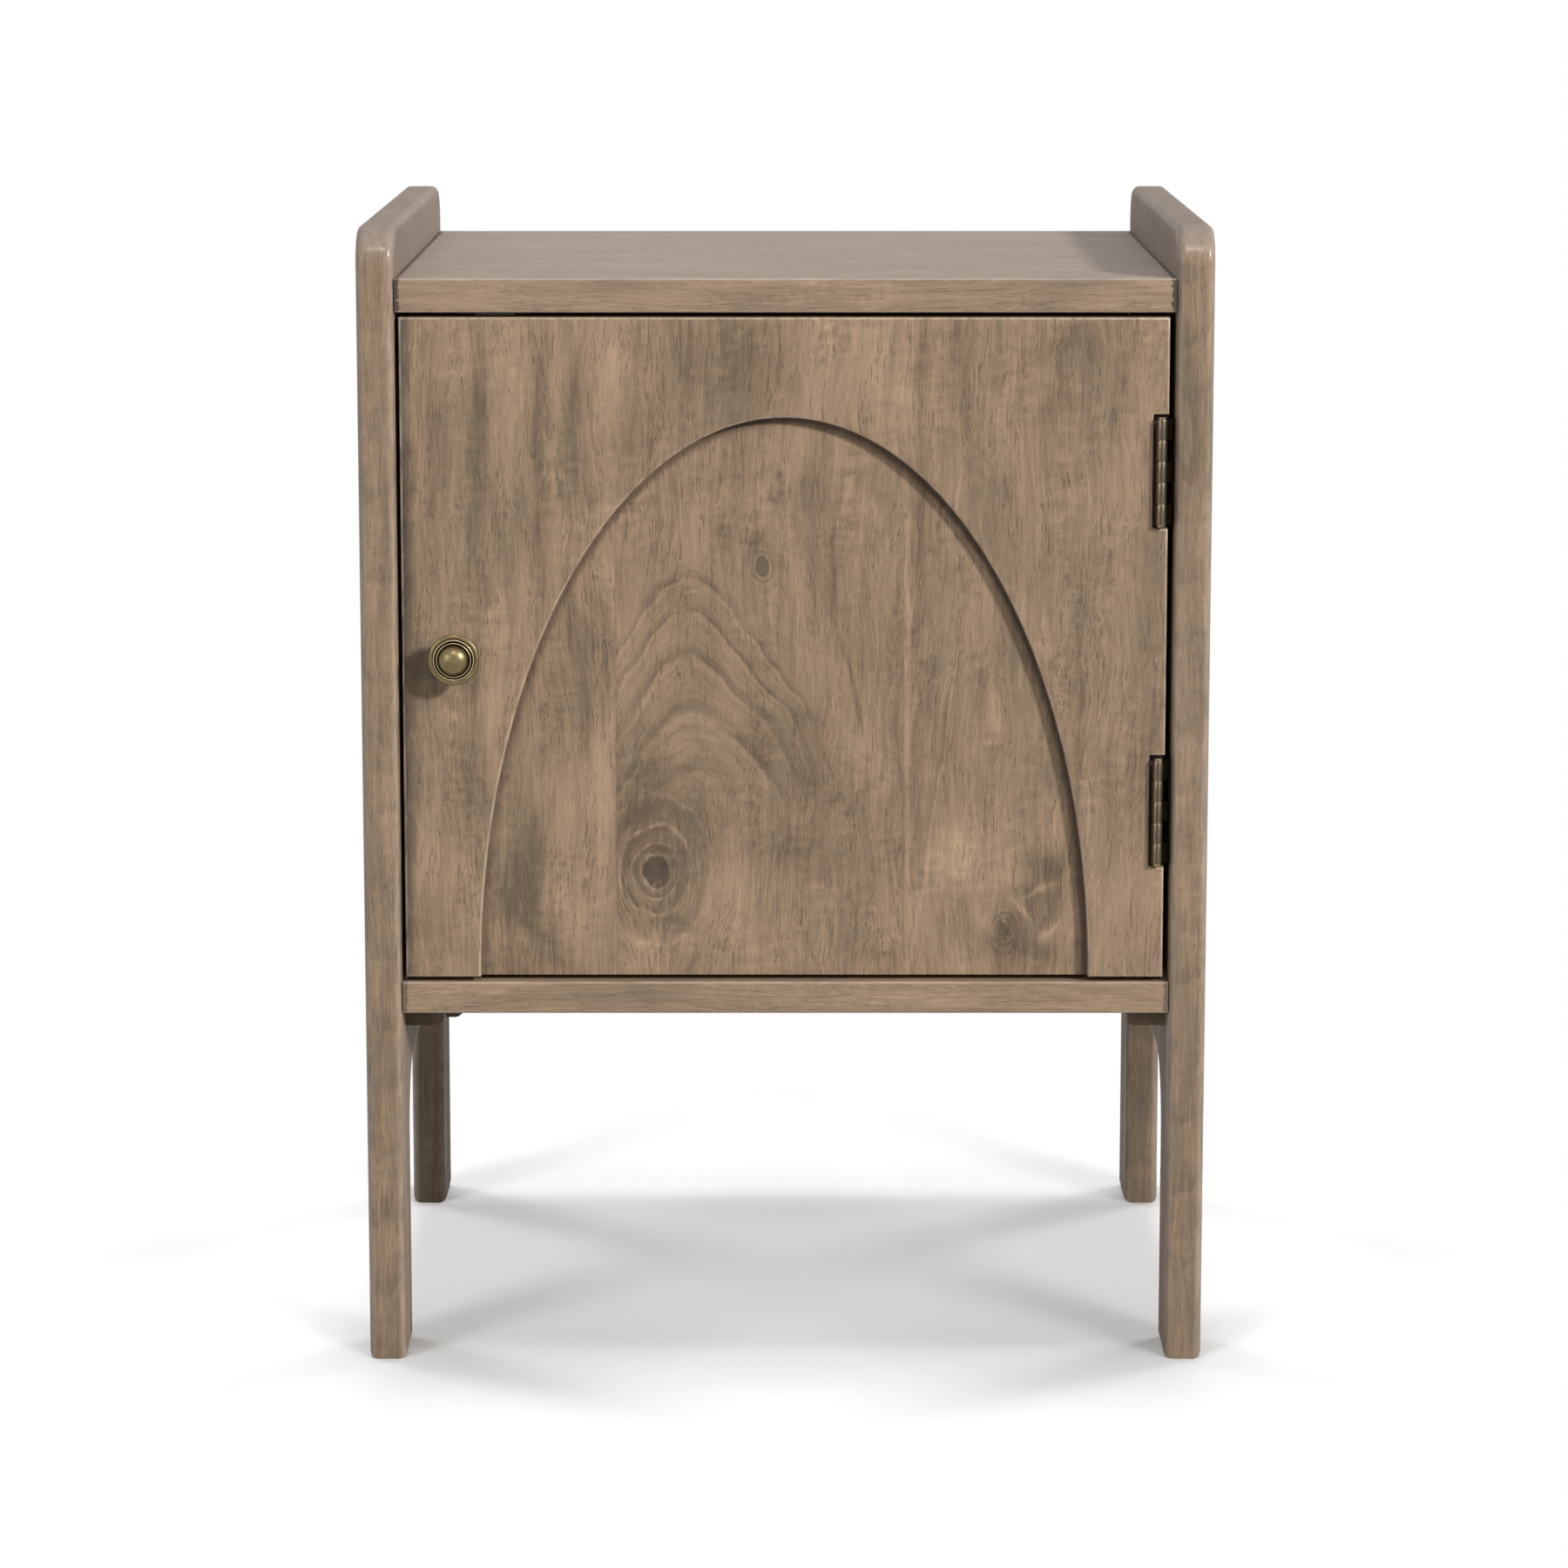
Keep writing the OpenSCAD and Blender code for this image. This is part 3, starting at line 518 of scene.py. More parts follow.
def cathedral_group():
    """Growth rings of a board sawn flat, as arches along the grain. A point's depth is how far it lies below
    the first arch, whose sides fall by a factor times the distance from its rounded apex to the power 1.6.
    The rings are spaced by a first gap that grows by a ratio from ring to ring, so their number is the
    logarithm of 1 + depth * (growth - 1) / gap, to the base growth. Where it is whole, the wood just above is
    dark and the wood just below is pale."""
    inputs = {"Vector": "Vector", "Apex": "Vector", "Left": "Float", "Right": "Float", "Gap": "Float",
              "Growth": "Float"}
    outputs = {"Line": "Float", "Fibre": "Float", "Inside": "Float"}
    tree, given, result = new_group("flat_sawn_rings", inputs, outputs)
    place, growth = given["Vector"], given["Growth"]
    warped = wander(tree, wander(tree, place, (45, 45, 70), (16, 0, 22)), (12, 12, 16), (4, 0, 6))
    away = apart(tree, vectors(tree, "SUBTRACT", warped, given["Apex"]))
    steeper = minus(tree, given["Right"], given["Left"])
    fall = maths(tree, "MULTIPLY_ADD", ramp(tree, away[0], -14, 14), steeper, given["Left"])
    square = maths(tree, "MULTIPLY_ADD", away[0], away[0], APEX_ROUNDING)
    fall = times(tree, maths(tree, "POWER", square, 0.8), fall)
    depth = minus(tree, times(tree, away[2], -1.0), fall)
    steps = maths(tree, "DIVIDE", times(tree, depth, minus(tree, growth, 1.0)), given["Gap"])
    steps = maths(tree, "MAXIMUM", maths(tree, "ADD", steps, 1.0), 0.02)
    part = maths(tree, "FRACT", maths(tree, "LOGARITHM", steps, growth))
    dark = band(tree, part, (0.55, 0.92), (0.93, 1.0))
    pale = band(tree, part, (0.0, 0.05), (0.06, 0.22), 0.5)
    weight = ramp(tree, noise(tree, place, (34, 34, 50), 1.0), 0.34, 0.58, 0.25, 1.0)
    along = put(tree, "CombineXYZ", {0: depth, 1: apart(tree, place)[1], 2: away[0]}).outputs[0]
    give(tree, result, Line=times(tree, minus(tree, dark, pale), weight),
         Fibre=swings(tree, (noise(tree, along, (1.9, 30, 22), 3.0, 0.6), 1.0)),
         Inside=ramp(tree, depth, -26.0, 6.0))
    return tree


TIMBER = timber_group()
EDGE_WEAR_AND_HIGHLIGHT_GROUP = edge_wear_and_highlight_group()
FLAT_SAWN = cathedral_group()


def finish_surface(tree, height, depth, strength, sockets):
    """Gives a material its surface: these sockets, and a bump of this depth and strength."""
    bump = put(tree, "Bump", {"Height": height, "Distance": depth, "Strength": strength})
    shader = put(tree, "BsdfPrincipled", dict(sockets, Normal=bump.outputs[0]))
    put(tree, "OutputMaterial", {"Surface": shader.outputs[0]})


def stained_wood(name, turn, start, figure=None, streaks=0.8, pores=0.8, ripple=0.5, rubbed=0.5, tint=None,
                 fine=1.0, sheen=0.35):
    """Matt lacquer over the stained timber, in the board space of this turn and start. figure turns that, and
    the strength of the streaks, into the place, the tone and the streaks of the board's own figure, and tint
    changes its colour. rubbed is how pale the worn edges turn, as wear and as painted highlight. A fine of 2
    halves the width of the grain, and sheen is the lacquer's."""
    material, tree = empty_material(name)
    place = board_space(tree, turn, start)
    bent, tone = place, 0.0
    if figure:
        bent, tone, streaks = figure(tree, place, streaks)
    if fine != 1:
        bent = vectors(tree, "MULTIPLY", bent, (fine, fine, 1))
    wood = place_group(tree, TIMBER, Vector=bent, Tone=tone, Streaks=streaks, Pores=pores, Ripple=ripple)
    colour = wood["Color"]
    if tint:
        colour = tint(tree, place, colour)
    edge = place_group(tree, EDGE_WEAR_AND_HIGHLIGHT_GROUP, Vector=place, Color=colour, Amount=rubbed)
    finish_surface(tree, wood["Height"], GRAIN_DEPTH, GRAIN_STRENGTH, {
        "Base Color": edge["Color"], "Roughness": wood["Roughness"], "Specular IOR Level": sheen,
        "Coat Weight": edge["Polish"], "Coat Roughness": POLISH_ROUGHNESS})
    return material


gallery_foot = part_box("top_board")[1].z


def panel_wood(name, start, apex):
    """A slab sawn flat: its arches show on the broad faces, and straight grain on the front edge. It is
    darker towards the bottom, and painted shade darkens it further towards the rear foot. Above the top
    board, the faces that look up or inwards are greyed by painted sheen and painted shade, as the top is by
    painted sheen."""
    def figure(tree, place, streaks):
        rings = place_group(tree, FLAT_SAWN, Vector=place, Apex=apex, **PANEL_RINGS)
        spot = apart(tree, wander(tree, object_place(tree), (0.05, 0.05, 0.14), (0.0, 0.06, 0.16)))
        # Painted shade: darker on the rear leg, towards the rear foot
        rear_leg_shade = times(tree, ramp(tree, spot[1], 0.06, 0.18), ramp(tree, spot[2], 0.16, 0.48, 1.0, 0.0))
        tone = ramp(tree, spot[2], 0.0, 0.4, *PANEL_TONES)
        tone = maths(tree, "MULTIPLY_ADD", rings["Line"], -PANEL_LINES, tone)
        return place, maths(tree, "MULTIPLY_ADD", rear_leg_shade, -REAR_LEG_PAINTED_SHADE, tone), streaks

    def tint(tree, place, colour):
        spot = apart(tree, object_place(tree))
        facing = apart(tree, put(tree, "TexCoord").outputs["Normal"])
        inwards = times(tree, maths(tree, "SIGN", spot[0]), facing[0], -1.0)
        # Painted light: grey sheen on faces that look up, painted shade on faces that look inwards
        painted_light = ramp(tree, maths(tree, "MAXIMUM", facing[2], inwards), 0.25, 0.75, 0.0, GALLERY_SHEEN_AND_SHADE_SHARE)
        above = ramp(tree, spot[2], gallery_foot - GALLERY_FADE, gallery_foot + GALLERY_FADE)
        return blend_colours(tree, times(tree, painted_light, above), colour, GALLERY_PAINTED_SHEEN_AND_SHADE)

    return stained_wood(name, UPRIGHT_SIDE, start, figure, streaks=0.9, rubbed=0.3, tint=tint, fine=1.5,
                        sheen=0.5)


PANEL_WOODS = {
    "side_panel_left": panel_wood("panel_wood_left", (400, 0, 0), (385, 0, 1600)),
    "side_panel_right": panel_wood("panel_wood_right", (-900, 300, 450), (-930, 300, 2050)),
}
outline = panel_outline()
for node_name, wood_finish in PANEL_WOODS.items():
    low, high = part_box(node_name)
    slab = eased_slab(node_name + "_slab", outline, low.x, high.x, (PANEL_EASE, PANEL_EASE), IN_Y_Z, "case",
                      "wood_panel", wood_finish, *crown_wear(outline))
    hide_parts(node_name)

# Top board and bottom board
# Two mango boards with the grain from side to side, dowelled between the side panels. Their edges are
# eased, and glue and stain have darkened them close to the joints. The top board's upper face is greyed by
# painted sheen.
BOARD_EASE = 0.0014
ACROSS = (0, -math.pi / 2, 0)
JOINT_REACH = 0.003
JOINT_STAIN = (0.03, 0.022, 0.017, 1)
# Painted sheen on the top board's upper face
TOP_PAINTED_SHEEN = (0.355, 0.297, 0.258, 1)
TOP_PAINTED_SHEEN_SHARES = (0.05, 0.62)


def plan_outline(low, high):
    """A rectangle in X and Y, or in any two axes, anticlockwise."""
    return np.array([(low[0], low[1]), (high[0], low[1]), (high[0], high[1]), (low[0], high[1])], float)


def joint_stain(high, depth):
    """A tint that darkens a board where it meets the side panels, with a ragged edge."""
    def tint(tree, place, colour):
        gap = minus(tree, high.x, maths(tree, "ABSOLUTE", apart(tree, object_place(tree))[0]))
        ragged = times(tree, noise(tree, place, (3, 7, 6), 3.0, 0.7), JOINT_REACH * 2)
        gap = minus(tree, gap, ragged)
        near = ramp(tree, gap, -JOINT_REACH * 0.3, JOINT_REACH * 0.2, depth, 0.0)
        return blend_colours(tree, near, colour, JOINT_STAIN)
    return tint


def top_tint(high):
    """The top board's upper face is greyed by painted sheen, and the board is darkened at its joints."""
    stain = joint_stain(high, depth=0.95)

    def tint(tree, place, colour):
        height = apart(tree, object_place(tree))[2]
        # Painted sheen: the upper face is greyed
        painted_light = ramp(tree, height, high.z - BOARD_EASE, high.z, *TOP_PAINTED_SHEEN_SHARES)
        return stain(tree, place, blend_colours(tree, painted_light, colour, TOP_PAINTED_SHEEN))
    return tint


BOARDS = {
    "top_board": ("wood_top", (0, 40, 900), top_tint),
    "bottom_board": ("wood_panel", (500, 0, 300), lambda high: joint_stain(high, depth=0.6)),
}
for node_name, (slot_name, start, tint_for) in BOARDS.items():
    low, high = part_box(node_name)
    wood_finish = stained_wood(node_name + "_wood", ACROSS, start, streaks=0.9, pores=0.7,
                               tint=tint_for(high), fine=1.4, sheen=0.5)
    slab = eased_slab(node_name + "_slab", plan_outline(low, high), low.z, high.z, (BOARD_EASE, BOARD_EASE),
                      IN_X_Y, "case", slot_name, wood_finish)
    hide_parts(node_name)

# Back panel, shelf and battens
# A thin veneered back, a loose shelf on four pins, two battens that are screwed to the side panels under
# the bottom board, and a strip beside the left one. They are stained darker than the show wood.
UPRIGHT_FRONT = (0, 0, 0)
RUNNING_BACK = (math.pi / 2, 0, 0)
DARK_STAIN = (0.12, 0.088, 0.062, 1)
INNER_WOODS = {
    "back_panel": (UPRIGHT_FRONT, (70, 0, 900), 0.3),
    "shelf": (ACROSS, (90, 500, 0), 0.15),
    "batten_left": (RUNNING_BACK, (0, 10, 600), 0.45),
    "batten_right": (RUNNING_BACK, (0, 300, 200), 0.45),
    "packing_strip_left": (RUNNING_BACK, (0, 500, 100), 0.5),
}


def tinted(amount, stain):
    """A tint towards a stain, the same all over."""
    return lambda tree, place, colour: blend_colours(tree, amount, colour, stain)


def dress(node_name, material):
    """Gives a part that keeps its own shape this material."""
    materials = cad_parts[node_name].data.materials
    materials.clear()
    materials.append(material)


for node_name, (turn, start, amount) in INNER_WOODS.items():
    tint = tinted(amount, DARK_STAIN)
    dress(node_name, stained_wood(node_name + "_wood", turn, start, rubbed=0.0, tint=tint))

# Door boards
# Three mango boards glued edge to edge, which show inside the arch. The middle one is sawn flat, with tall
# arches above a big knot and a small knot beside them, and the right one has a curl low down.
DOOR_EASE = 0.0003
DOOR_GRAIN = {"streaks": 0.8, "pores": 0.9, "ripple": 0.75}
ARCH_SIDE = 0.04975
ARCH_HEAD = 0.0658
# Painted shade at the foot of the arch, darker on its right
ARCH_PAINTED_SHADE = (0.05, 0.035, 0.024, 1)
ARCH_SHADE_REACH = (1.8, 6.2)
ARCH_SHADE_ACROSS = (-150, 90, 0.45, 0.8)
ARCH_SHADE_DEPTHS = (0.0005, 0.003)
WHOLE_RINGS = 40.0
KNOT_SPREAD = 0.85
ANY_DEPTH = 1000000.0
PATCH_DEPTH = 0.8
FIBRE_DEPTH = 0.8
CALM_STREAKS = 0.75


def knot_group():
    """A knot in board space. The reach is the distance from its centre over its eye's size across and along
    the grain. Pale rings lie where the logarithm of the reach, to the base growth, is whole, with dark wood
    between them, and all fades as exp(-fade * reach squared). The grain is spread sideways round the knot."""
    inputs = {"Vector": "Vector", "Centre": "Vector", "Eye": "Vector", "Growth": "Float", "Fade": "Float"}
    outputs = {"Bent": "Vector", "Shade": "Float", "Ring": "Float", "Core": "Float"}
    tree, given, result = new_group("knot", inputs, outputs)
    place = given["Vector"]
    warped = wander(tree, wander(tree, place, (30, 30, 40), (9, 0, 12)), (9, 9, 12), (2.4, 0, 3.0))
    away = vectors(tree, "SUBTRACT", warped, given["Centre"])
    sizes = vectors(tree, "DIVIDE", away, given["Eye"])
    square = measure(tree, "DOT_PRODUCT", sizes, sizes)
    reach = maths(tree, "SQRT", maths(tree, "ADD", square, 0.0001))
    fade = maths(tree, "EXPONENT", times(tree, square, given["Fade"], -1.0))
    rings = maths(tree, "ADD", maths(tree, "LOGARITHM", reach, given["Growth"]), WHOLE_RINGS)
    part = maths(tree, "FRACT", rings)
    broken = ramp(tree, noise(tree, warped, (9, 9, 11)), 0.42, 0.58, 0.1, 1.3)
    pale = times(tree, band(tree, part, (0.0, 0.07), (0.08, 0.24)), broken)
    dark = band(tree, part, (0.3, 0.85), (0.88, 1.0), 0.6)
    outside = ramp(tree, reach, 0.95, 1.1)
    shift = times(tree, apart(tree, away)[0], fade, -KNOT_SPREAD)
    step = put(tree, "CombineXYZ", {0: shift}).outputs[0]
    give(tree, result, Bent=vectors(tree, "ADD", place, step), Shade=fade,
         Ring=times(tree, minus(tree, dark, pale), fade, outside),
         Core=ramp(tree, reach, 0.88, 1.04, 1.0, 0.0))
    return tree


def patch_group():
    """A soft patch in board space: exp(-reach squared), where the reach is the distance from its centre over
    its half sizes. It leans sideways by a share of the height above its centre."""
    inputs = {"Vector": "Vector", "Centre": "Vector", "Half": "Vector", "Lean": "Float"}
    tree, given, result = new_group("patch", inputs, {"Mask": "Float"})
    away = vectors(tree, "SUBTRACT", given["Vector"], given["Centre"])
    slide = times(tree, apart(tree, away)[2], given["Lean"], -1.0)
    away = vectors(tree, "ADD", away, put(tree, "CombineXYZ", {0: slide}).outputs[0])
    sizes = vectors(tree, "DIVIDE", away, given["Half"])
    square = measure(tree, "DOT_PRODUCT", sizes, sizes)
    give(tree, result, Mask=maths(tree, "EXPONENT", times(tree, square, -1.0)))
    return tree


KNOT = knot_group()
PATCH = patch_group()


def board_figure(knots=(), patches=(), rings=None):
    """A board's own figure. A knot is X, Z, its eye's half width and half height, the growth and the fade of
    its rings, and how dark its surroundings, rings and eye are. A patch is X, Z, half width, half height,
    lean and how dark it is, below zero for a pale one. rings are the flat-sawn rings' sockets, how dark they
    are, and the height below which they fade."""
    def figure(tree, place, streaks):
        bent, tone = place, 0.0
        for x, z, width, height, growth, fade, shade, ring, core in knots:
            knot = place_group(tree, KNOT, Vector=bent, Centre=(x, 0, z), Eye=(width, ANY_DEPTH, height),
                               Growth=growth, Fade=fade)
            bent = knot["Bent"]
            for part, strength in (("Shade", shade), ("Ring", ring), ("Core", core)):
                tone = maths(tree, "MULTIPLY_ADD", knot[part], -strength, tone)
        ragged = wander(tree, wander(tree, place, (26, 26, 60), (12, 0, 26)), (7, 7, 22), (6, 0, 12))
        for x, z, width, height, lean, strength in patches:
            patch = place_group(tree, PATCH, Vector=ragged, Centre=(x, 0, z), Half=(width, ANY_DEPTH, height),
                                Lean=lean)
            tone = maths(tree, "MULTIPLY_ADD", patch["Mask"], -strength * PATCH_DEPTH, tone)
        if rings:
            sockets, strength, foot = rings
            arches = place_group(tree, FLAT_SAWN, Vector=place, **sockets)
            above = ramp(tree, apart(tree, place)[2], foot - 50, foot + 20)
            inside = times(tree, arches["Inside"], above)
            lines = times(tree, arches["Fibre"], FIBRE_DEPTH)
            lines = maths(tree, "MULTIPLY_ADD", arches["Line"], strength, lines)
            tone = minus(tree, tone, times(tree, lines, inside))
            streaks = times(tree, maths(tree, "MULTIPLY_ADD", inside, -CALM_STREAKS, 1.0), streaks)
        return bent, tone, streaks
    return figure


def arch_sizes(low, high):
    """The arch's middle, half width and rise, from the arched frame's box."""
    return (low.x + high.x) / 2, (high.x - low.x) / 2 - ARCH_SIDE, high.z - low.z - ARCH_HEAD


def arch_painted_shade(frame_low, frame_high):
    """Painted shade: a tint that darkens the boards' front at the foot of the arch, in the recess's corner,
    more on the right.
    The reach grows from 0 at the arch's middle to 1 on its ellipse. The distance from the arch is 1 less the
    reach, over the length of the reach's gradient, which is the slope over the reach."""
    middle, half_width, rise = (size * 1000 for size in arch_sizes(frame_low, frame_high))

    def tint(tree, place, colour):
        away = vectors(tree, "SUBTRACT", place, (middle, 0, frame_low.z * 1000))
        away = vectors(tree, "MULTIPLY", away, (1, 0, 1))
        sizes = vectors(tree, "DIVIDE", away, (half_width, 1, rise))
        reach = measure(tree, "LENGTH", sizes)
        slope = measure(tree, "LENGTH", vectors(tree, "DIVIDE", sizes, (half_width, 1, rise)))
        distance = maths(tree, "DIVIDE", minus(tree, reach, times(tree, reach, reach)), slope)
        distance = maths(tree, "ADD", distance, swings(tree, (noise(tree, place, (4, 4, 9), 3.0), 2.5)))
        near = ramp(tree, distance, *ARCH_SHADE_REACH, 1.0, 0.0)
        rightwards = ramp(tree, apart(tree, away)[0], *ARCH_SHADE_ACROSS)
        depth = minus(tree, apart(tree, object_place(tree))[1], frame_high.y)
        in_front = ramp(tree, depth, *ARCH_SHADE_DEPTHS, 1.0, 0.0)
        return blend_colours(tree, times(tree, near, rightwards, in_front), colour, ARCH_PAINTED_SHADE)
    return tint


FLAT_RINGS = {"Apex": (-66, 0, 530), "Left": 0.119, "Right": 0.0865, "Gap": 24.0, "Growth": 1.2}
DOOR_BOARDS = {
    "door_board_left": (300, board_figure(
        patches=[
            (-131, 462, 6, 55, 0.05, 0.55), (-140, 505, 4, 40, 0, 0.35), (-117, 478, 2.5, 45, 0, 0.4),
            (-121, 375, 5, 40, 0, -0.2), (-150, 365, 8, 40, 0.1, -0.25), (-176, 324, 13, 42, 0.25, 0.72),
            (-160, 288, 14, 34, -0.55, 0.65), (-182, 264, 24, 16, 0, 0.6), (-146, 560, 10, 22, 0.2, 0.2)])),
    "door_board_middle": (0, board_figure(
        knots=[
            (-86, 333, 8.5, 11.5, 1.62, 0.05, 0.18, 0.45, 0.85),
            (-15, 537, 5, 6, 1.7, 0.22, 0.12, 0.5, 0.65)],
        patches=[
            (-96, 388, 15, 30, 0.15, 0.42), (-68, 364, 28, 13, 0, 0.18), (-38, 560, 9, 13, 0, 0.5),
            (-20, 556, 5, 7, 0.3, 0.35), (-10, 582, 7, 3, 0, 0.5), (-5, 598, 3, 3, 0, 0.5),
            (-60, 590, 26, 14, 0.8, 0.2), (18, 585, 16, 12, 0, 0.26), (-12, 348, 18, 12, 0.5, 0.2),
            (15, 437, 12, 5, -0.3, 0.26), (30, 405, 12, 30, -0.5, 0.16), (45, 285, 24, 22, -0.6, 0.28),
            (20, 330, 20, 30, -0.5, 0.14), (-36, 310, 11, 34, 0, -0.28), (-76, 298, 17, 4.5, 0, 0.5),
            (-94, 286, 11, 3.5, 0, -0.35), (32, 535, 1.8, 40, 0, 0.45), (44, 458, 1.8, 38, -0.25, 0.45),
            (55, 560, 12, 60, 0, -0.15), (0, 440, 150, 180, 0, 0.12), (-86, 322, 1.8, 2.6, 0, -1.3)],
        rings=(FLAT_RINGS, 0.32, 395))),
    "door_board_right": (-240, board_figure(
        knots=[(146, 294, 4, 5, 1.55, 0.12, 0.18, 0.28, 0.3)],
        # The two strong patches at x 246, behind the hinges' notches, are painted shade.
        patches=[
            (80, 450, 2.2, 160, 0, -0.45), (88, 540, 5, 90, 0.03, 0.38), (100, 385, 1.5, 95, 0.16, -0.5),
            (106, 430, 2.6, 90, 0.16, 0.42), (113, 335, 15, 26, 0, -0.32), (177, 340, 15, 8, 0.4, 0.5),
            (158, 322, 10, 6, 0, 0.35), (172, 288, 18, 24, 0, 0.16), (146, 296, 14, 9, 0.3, 0.22),
            (166, 270, 6, 2.5, 0.3, -0.35), (150, 440, 24, 60, -0.2, 0.1), (246, 374, 7, 60, 0, 3.0),
            (246, 600, 7, 60, 0, 3.0), (172, 318, 18, 24, 0.4, 0.5), (158, 278, 26, 12, 0, 0.42),
            (158, 302, 3.5, 8, -0.9, -0.75), (168, 322, 3, 8, 1.2, -0.7), (176, 292, 3, 9, 0.7, -0.65),
            (134, 296, 4, 8, -0.4, -0.4), (118, 350, 14, 26, 0, -0.25)])),
}
frame_low, frame_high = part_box("door_arch_frame")
# Painted shade in the arch's corner, on the boards' front, darker on the right
arch_shade = arch_painted_shade(frame_low, frame_high)
for node_name, (depth, figure) in DOOR_BOARDS.items():
    low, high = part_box(node_name)
    wood_finish = stained_wood(node_name + "_wood", UPRIGHT_FRONT, (0, depth, 0), figure, rubbed=0.1,
                               tint=arch_shade, **DOOR_GRAIN)
    slab = eased_slab(node_name + "_slab", plan_outline((low.x, low.z), (high.x, high.z)), low.y, high.y,
                      (DOOR_EASE, DOOR_EASE), IN_X_Z, "door", "wood_door", wood_finish)
    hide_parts(node_name)

# Arched frame of the door
# An 8 mm layer glued on the front of the boards and cut to a tall arch, with notches for the hinges. Its
# edges are rounded over, and the grain runs upright through all of it.
ARCH_STEPS = 120
FRAME_EASE = 0.0018
NOTCH_GAP = 0.0014
BARREL_RADIUS = 0.0039
PIN_INSET = 0.0048
NOTCHED = ("hinge_lower_pin", "hinge_upper_pin")


def arch_frame_outline(low, high):
    """The frame seen from the front, in X and Z: up its right edge with a notch at each hinge, over the top,
    down the left edge, and back under the arch, which is half an ellipse on the lower edge."""
    notch_x = high.x - PIN_INSET - BARREL_RADIUS - NOTCH_GAP
    right = [(high.x, low.z)]
    for pin in NOTCHED:
        pin_low, pin_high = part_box(pin)
        bottom, top = pin_low.z - NOTCH_GAP, pin_high.z + NOTCH_GAP
        right += [(high.x, bottom), (notch_x, bottom), (notch_x, top), (high.x, top)]
    middle, half_width, rise = arch_sizes(low, high)
    turn = np.linspace(math.pi, 0, ARCH_STEPS + 1)
    arch = np.stack([middle + half_width * np.cos(turn), low.z + rise * np.sin(turn)], 1)
    return np.vstack([right, (high.x, high.z), (low.x, high.z), (low.x, low.z), arch])


frame_figure = board_figure(
    patches=[
        (-251, 480, 3.5, 400, 0, 0.8), (-232, 620, 7, 90, 0, 0.25), (-202, 590, 5, 110, 0.02, 0.5),
        (-202, 648, 6, 9, 0, 0.3), (-180, 640, 10, 80, 0, -0.2), (-160, 615, 5, 95, 0, 0.55),
        (-150, 640, 3, 70, 0, -0.2), (-140, 640, 3.5, 80, 0, 0.4), (-115, 660, 13, 60, 0, -0.25),
        (-70, 665, 18, 60, 0, 0.32), (-25, 670, 18, 50, -0.15, 0.3), (24, 672, 12, 50, 0, -0.35),
        (52, 670, 18, 60, 0, -0.25), (88, 650, 5, 80, 0, 0.42), (118, 640, 6, 60, -0.1, 0.25),
        (180, 684, 17, 13, 0, 0.45), (178, 655, 9, 18, 0, 0.25), (-252, 480, 7, 300, 0, 1.2),
        # (-240, 466) is the knob's painted shadow, below and to the left of it.
        (-240, 466, 9, 20, 0, 0.8), (170, 640, 3, 12, 0.5, 0.15), (236, 655, 8, 30, 0, -0.3),
        (225, 520, 16, 90, 0, -0.12), (194, 420, 2.8, 90, 0.02, 0.38), (222, 300, 15, 34, 0, -0.22),
        (-225, 440, 14, 36, 0, -0.18), (-206, 415, 7, 30, 0, 0.35), (-236, 300, 12, 34, 0, 0.25),
        (-216, 664, 8, 2.5, 0.3, -0.35), (-224, 436, 8, 2.5, -0.3, -0.35), (240, 400, 7, 40, 0, 0.15)])
# Its edges turn strongly pale, as rubbed wear and as painted highlight along the arch's lip.
frame_wood = stained_wood("arch_frame_wood", UPRIGHT_FRONT, (0, 700, 0), frame_figure, rubbed=0.8,
                          **DOOR_GRAIN)
slab = eased_slab("door_arch_frame_plate", arch_frame_outline(frame_low, frame_high), frame_low.y,
                  frame_high.y, (FRAME_EASE, 0), IN_X_Z, "door", "wood_door", frame_wood)
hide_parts("door_arch_frame")

# Knob
# A turned knob of antique brass, 34 mm across: a foot, a neck, a head with stepped rings, and a dome. The
# patina has stayed dark in the grooves and is rubbed bright on the dome and the rings.
KNOB_SEGMENTS = 96
DOME_FOOT = 19.6
DOME_RADIUS = 9.9
BRASS = (0.2, 0.155, 0.076, 1)
BRASS_DARK = (0.03, 0.022, 0.012, 1)
BRASS_RUBBED = (0.43, 0.35, 0.205, 1)
SCRATCH_DEPTH = 0.00003
FINE_STRENGTH = 0.5
PATINA_ROUGHNESS = 0.14
RING_STEPS = 7
DOME_STEPS = 16


def metal(name, base, dark, roughness, rubbed_colour=None, mottling=1.0):
    """Metal with a mottled patina: dark where the wear attribute is low, and rubbed where it is high."""
    material, tree = empty_material(name)
    place = board_space(tree, UPRIGHT_FRONT, (0, 0, 0))
    amount = ramp(tree, noise(tree, place, (3, 3, 3), 4.0, 0.6), 0.35, 0.7, 0.0, mottling)
    colour = blend_colours(tree, amount, base, dark)
    if rubbed_colour:
        wear = wear_here(tree)
        colour = blend_colours(tree, ramp(tree, wear, 0.0, 0.5, 0.88, 0.0), colour, dark)
        colour = blend_colours(tree, ramp(tree, wear, 0.6, 1.0, 0.0, 0.85), colour, rubbed_colour)
    rough = maths(tree, "MULTIPLY_ADD", amount, PATINA_ROUGHNESS, roughness)
    scratch = noise(tree, place, (0.5, 0.5, 2.5))
    sockets = {"Base Color": colour, "Metallic": 1.0, "Roughness": rough}
    finish_surface(tree, scratch, SCRATCH_DEPTH, FINE_STRENGTH, sockets)
    return material


